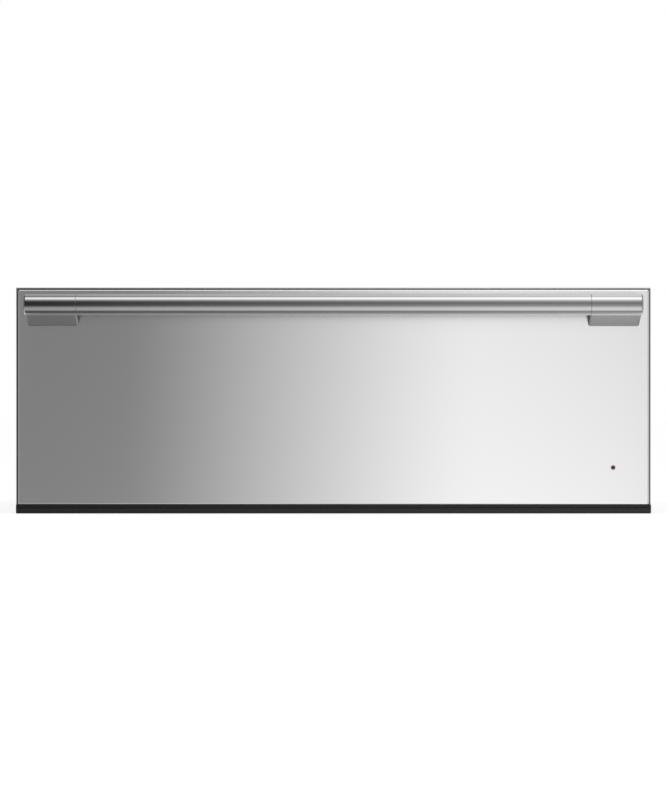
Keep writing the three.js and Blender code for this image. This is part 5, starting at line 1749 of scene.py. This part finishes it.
# The soft box in front of the drawer, across its width in metres: a dark edge left, a bright swell right.
FRONT_BOX = Card(
    ((-0.5, 0.3), (-0.3, 0.2), (-0.2, 0.3), (0.1, 0.7), (0.2, 0.8), (0.4, 0.6), (0.5, 0.5), (0.9, 0.3))
)


@dataclass(frozen=True)
class Studio:
    """A white studio: soft light all round, and cards that only the metal's reflections see.

    The camera's distance and eye height, and the metres that a pixel spans at the drawer's face, give the
    photograph's view. Angles are in degrees, and powers in watts.
    """

    distance: float = 4.5
    eye_height: float = 135.7 * MM
    pixel: float = 1.1935 * MM
    picture_height: int = 800
    sensor: float = 36.0
    view_range: Pair = (0.05, 60.0)
    world_light: float = 0.72
    lamp_place: Point = (0.3, -0.9, 2.4)
    lamp_width: float = 2.2
    lamp_tilt: float = -20.0
    lamp_power: float = 16.0
    floor_half: float = 20.0
    floor_grey: float = 0.35
    floor_roughness: float = 0.9
    # How much white the floor adds to what the camera sees of it.
    floor_lift: float = 0.74
    # The brightness that a card's ramp gives as white.
    peak: float = 2.6
    card_radius: float = 1.5
    card_half: float = 1.2
    # Where the curved card begins and ends, how many flats it is bent in, and where its ramp begins and ends.
    card_turn: Pair = (-129.0, 177.0)
    card_flats: int = 51
    card_ramp: Pair = (-130.0, 180.0)
    # The curved card goes from its left to its right brightness within this distance of the middle.
    blend_half: float = 0.5
    # Further right it falls off again, so that side views don't clip: to this share, at this distance.
    far_right: float = 0.75
    far_share: float = 0.2
    # The flags that close the curved card's ends, front to back and bottom to top.
    flag: Rect = Rect(-2.2, 1.6, -1.5, 2.2)
    flag_left: float = 0.12
    flag_right: float = 0.5
    flag_low: float = 0.8
    flag_fade: Pair = (-0.35, -0.05)
    box_radius: float = 1.2
    box_turn: float = 110.0
    box_flats: int = 22
    box_reach: float = 0.9
    # The share of the soft box's reach, up and down, that is as bright as its middle.
    box_even: float = 0.35

    def build_camera(self) -> None:
        """Stands the camera straight in front of the drawer, at the photograph's distance and scale."""
        data = bpy.data.cameras.new("camera")
        data.sensor_width = self.sensor
        data.lens = self.sensor * self.distance / (self.pixel * self.picture_height)
        data.clip_start, data.clip_end = self.view_range
        camera = bpy.data.objects.new("camera", data)
        camera.location = (0.0, box_of("front_skin")[0].y - self.distance, self.eye_height)
        camera.rotation_euler = (math.radians(90), 0.0, 0.0)
        bpy.context.scene.collection.objects.link(camera)
        bpy.context.scene.camera = camera

    def build_world(self) -> None:
        """Makes the surroundings white to the eye and to reflections, and a plain soft light otherwise."""
        world = bpy.data.worlds.new("white_studio")
        bpy.context.scene.world = world
        world.use_nodes = True
        tree = world.node_tree
        path = add_node(tree, "ShaderNodeLightPath").outputs
        seen = path["Is Camera Ray"]
        for other in ("Is Glossy Ray", "Is Transmission Ray"):
            seen = add_node(tree, "ShaderNodeMath", {0: seen, 1: path[other]}, operation="MAXIMUM")
        ends = {"To Min": self.world_light, "To Max": 1.0}
        strength = add_node(tree, "ShaderNodeMapRange", {"Value": seen, **ends})
        background = tree.nodes["Background"].inputs
        background["Color"].default_value = (1, 1, 1, 1)
        tree.links.new(strength.outputs["Result"], background["Strength"])

    def build_lamp(self) -> None:
        """Hangs a wide soft lamp overhead, which no reflection sees."""
        data = bpy.data.lights.new("overhead_lamp", "AREA")
        data.shape, data.size, data.energy = "DISK", self.lamp_width, self.lamp_power
        lamp = bpy.data.objects.new("overhead_lamp", data)
        lamp.location = self.lamp_place
        lamp.rotation_euler = (math.radians(self.lamp_tilt), 0.0, 0.0)
        lamp.visible_glossy = False
        bpy.context.scene.collection.objects.link(lamp)

    def sheet(self, name: str, start: Ring, end: Ring) -> Piece:
        """Makes an open sheet between two lines of equally many points.

        Args:
            name: The sheet's name.
            start: The first line.
            end: The second line.

        Returns:
            The sheet, with no material yet.
        """
        count = len(start)
        mesh = bpy.data.meshes.new(name)
        faces = [(i, i + 1, count + i + 1, count + i) for i in range(count - 1)]
        mesh.from_pydata([*start, *end], [], faces)
        return put_in_scene(name, mesh, None)

    def build_floor(self) -> None:
        """Lays a pale floor that clips to white around the object and keeps its soft shadow."""
        half = self.floor_half
        near, far = ([(-half, y, 0), (half, y, 0)] for y in (-half, half))
        floor = self.sheet("floor", near, far)
        material = bpy.data.materials.new("white_floor")
        material.use_nodes = True
        tree = material.node_tree
        shader = tree.nodes["Principled BSDF"].inputs
        shader["Base Color"].default_value = (*[self.floor_grey] * 3, 1)
        shader["Roughness"].default_value = self.floor_roughness
        shader["Specular IOR Level"].default_value = 0.0
        shader["Emission Color"].default_value = (1, 1, 1, 1)
        eye = add_node(tree, "ShaderNodeLightPath").outputs["Is Camera Ray"]
        lift = add_node(tree, "ShaderNodeMath", {0: eye, 1: self.floor_lift}, operation="MULTIPLY")
        tree.links.new(lift.outputs[0], shader["Emission Strength"])
        floor.data.materials.append(material)
        floor.visible_glossy = False

    def glowing(self, card: Piece) -> tuple[Tree, Node, Node]:
        """Gives a card a material that glows and no more, and lets only reflections see it.

        Args:
            card: The card.

        Returns:
            The material's tree, its emission node and its split Object coordinates.
        """
        material = bpy.data.materials.new(f"{card.name}_glow")
        material.use_nodes = True
        card.data.materials.append(material)
        card.visible_camera = card.visible_diffuse = card.visible_transmission = False
        card.visible_shadow = card.visible_volume_scatter = False
        tree = material.node_tree
        tree.nodes.remove(tree.nodes["Principled BSDF"])
        glow = add_node(tree, "ShaderNodeEmission", {"Strength": self.peak})
        tree.links.new(glow.outputs[0], tree.nodes["Material Output"].inputs["Surface"])
        place = add_node(tree, "ShaderNodeTexCoord").outputs["Object"]
        return tree, glow, add_node(tree, "ShaderNodeSeparateXYZ", {"Vector": place})

    def build_surround(self) -> None:
        """Bends a wide card round the handle's centre line: bright above, dark ahead, pale below."""
        low, high = box_of("handle_bar")
        y, z = (low.y + high.y) / 2, (low.z + high.z) / 2
        curve = arc((0.0, 0.0), self.card_radius, *self.card_turn, self.card_flats)
        start, end = ([(x, y - u, z + v) for u, v in curve] for x in (-self.card_half, self.card_half))
        tree, glow, split = self.glowing(self.sheet("curved_card", start, end))
        ahead = add_node(tree, "ShaderNodeMath", {0: y, 1: split.outputs["Y"]}, operation="SUBTRACT")
        above = add_node(tree, "ShaderNodeMath", {0: split.outputs["Z"], 1: z}, operation="SUBTRACT")
        angle = add_node(tree, "ShaderNodeMath", {0: above, 1: ahead}, operation="ARCTAN2")
        degrees = add_node(tree, "ShaderNodeMath", {0: angle}, operation="DEGREES").outputs[0]
        blend = {"From Min": -self.blend_half, "From Max": self.blend_half}
        rise = add_node(tree, "ShaderNodeMapRange", {"Value": split.outputs["X"], **blend})
        past = {"From Min": self.blend_half, "From Max": self.far_right}
        past |= {"To Min": 1.0, "To Max": self.far_share}
        fall = add_node(tree, "ShaderNodeMapRange", {"Value": split.outputs["X"], **past})
        share = add_node(tree, "ShaderNodeMath", {0: rise, 1: fall}, operation="MULTIPLY")
        left = Card([(strip.elevation, strip.left) for strip in CURVED_CARD])
        right = Card([(strip.elevation, strip.right) for strip in CURVED_CARD])
        dark, bright = (side.ramp(tree, degrees, *self.card_ramp, self.peak) for side in (left, right))
        colours = {MIX_FACTOR: share, MIX_A: dark, MIX_B: bright}
        mixed = add_node(tree, "ShaderNodeMix", colours, data_type="RGBA")
        tree.links.new(mixed.outputs[MIX_RESULT], glow.inputs["Color"])

    def build_side_flags(self) -> None:
        """Closes the curved card's ends: the left one darker than the right, and both pale near the floor."""
        flag, half = self.flag, self.card_half
        fade_low, fade_high = self.flag_fade
        sides = (("left_flag", -half, self.flag_left), ("right_flag", half, self.flag_right))
        for name, x, strength in sides:
            start, end = ([(x, flag.u0, z), (x, flag.u1, z)] for z in (flag.v0, flag.v1))
            tree, glow, split = self.glowing(self.sheet(name, start, end))
            ends = {"From Min": fade_low, "From Max": fade_high, "To Min": self.flag_low, "To Max": strength}
            height = add_node(tree, "ShaderNodeMapRange", {"Value": split.outputs["Z"], **ends})
            tree.links.new(height.outputs["Result"], glow.inputs["Strength"])

    def build_front_box(self, faces_lit: Sequence[Piece]) -> None:
        """Bends a soft box round the drawer's face that lights the face's own reflection and nothing else.

        Args:
            faces_lit: The pieces that reflect it. Nothing stands in its way, as if it were close to them.
        """
        face, radius, reach = box_of("front_skin")[0].y, self.box_radius, self.box_reach
        plan = arc((0.0, face), radius, -90 - self.box_turn, self.box_turn - 90, self.box_flats)
        start, end = (level(plan, z) for z in (self.eye_height - reach, self.eye_height + reach))
        card = self.sheet("front_box", start, end)
        tree, glow, split = self.glowing(card)
        ramp = FRONT_BOX.ramp(tree, split.outputs["X"], -radius, radius, self.peak)
        tree.links.new(ramp, glow.inputs["Color"])
        heights = {0: split.outputs["Z"], 1: self.eye_height}
        rise = add_node(tree, "ShaderNodeMath", heights, operation="SUBTRACT")
        away = add_node(tree, "ShaderNodeMath", {0: rise}, operation="ABSOLUTE")
        ends = {"From Min": self.box_even * reach, "From Max": reach, "To Min": self.peak, "To Max": 0.0}
        smooth = {"interpolation_type": "SMOOTHSTEP"}
        fade = add_node(tree, "ShaderNodeMapRange", {"Value": away, **ends}, **smooth)
        tree.links.new(fade.outputs["Result"], glow.inputs["Strength"])
        clear = add_node(tree, "ShaderNodeBsdfTransparent")
        both = add_node(tree, "ShaderNodeAddShader", {0: glow, 1: clear})
        tree.links.new(both.outputs[0], tree.nodes["Material Output"].inputs["Surface"])
        lit = bpy.data.collections.new("lit_by_front_box")
        for obj in faces_lit:
            lit.objects.link(obj)
        # Only what this holds can stand in the box's way, and the flag is no nearer than the box.
        blocking = bpy.data.collections.new("blocking_front_box")
        blocking.objects.link(bpy.data.objects["left_flag"])
        card.light_linking.receiver_collection = lit
        card.light_linking.blocker_collection = blocking

    def build(self, faces_lit: Sequence[Piece]) -> None:
        """Builds the studio round the finished object.

        Args:
            faces_lit: The pieces of the drawer's face, which have a soft box of their own.
        """
        bpy.context.scene.view_settings.view_transform = "Standard"
        self.build_camera()
        self.build_world()
        self.build_lamp()
        self.build_floor()
        self.build_surround()
        self.build_side_flags()
        self.build_front_box(faces_lit)


def main() -> None:
    """Builds the drawer's sub-assemblies in order, then the studio round them."""
    logging.basicConfig(level=logging.INFO, format="%(message)s")
    outside = (DrawerFront(), Handle(), FaceFrame(), Chassis())
    inside = (Cavity(), Controls(), Slides(), DrawerBox())
    for assembly in (*outside, *inside):
        assembly.build()
        LOG.info("%s is built", type(assembly).__name__)
    Studio().build([bpy.data.objects[name] for name in ("front_skin_folded", "face_frame_eased")])


if __name__ == "__main__":
    main()
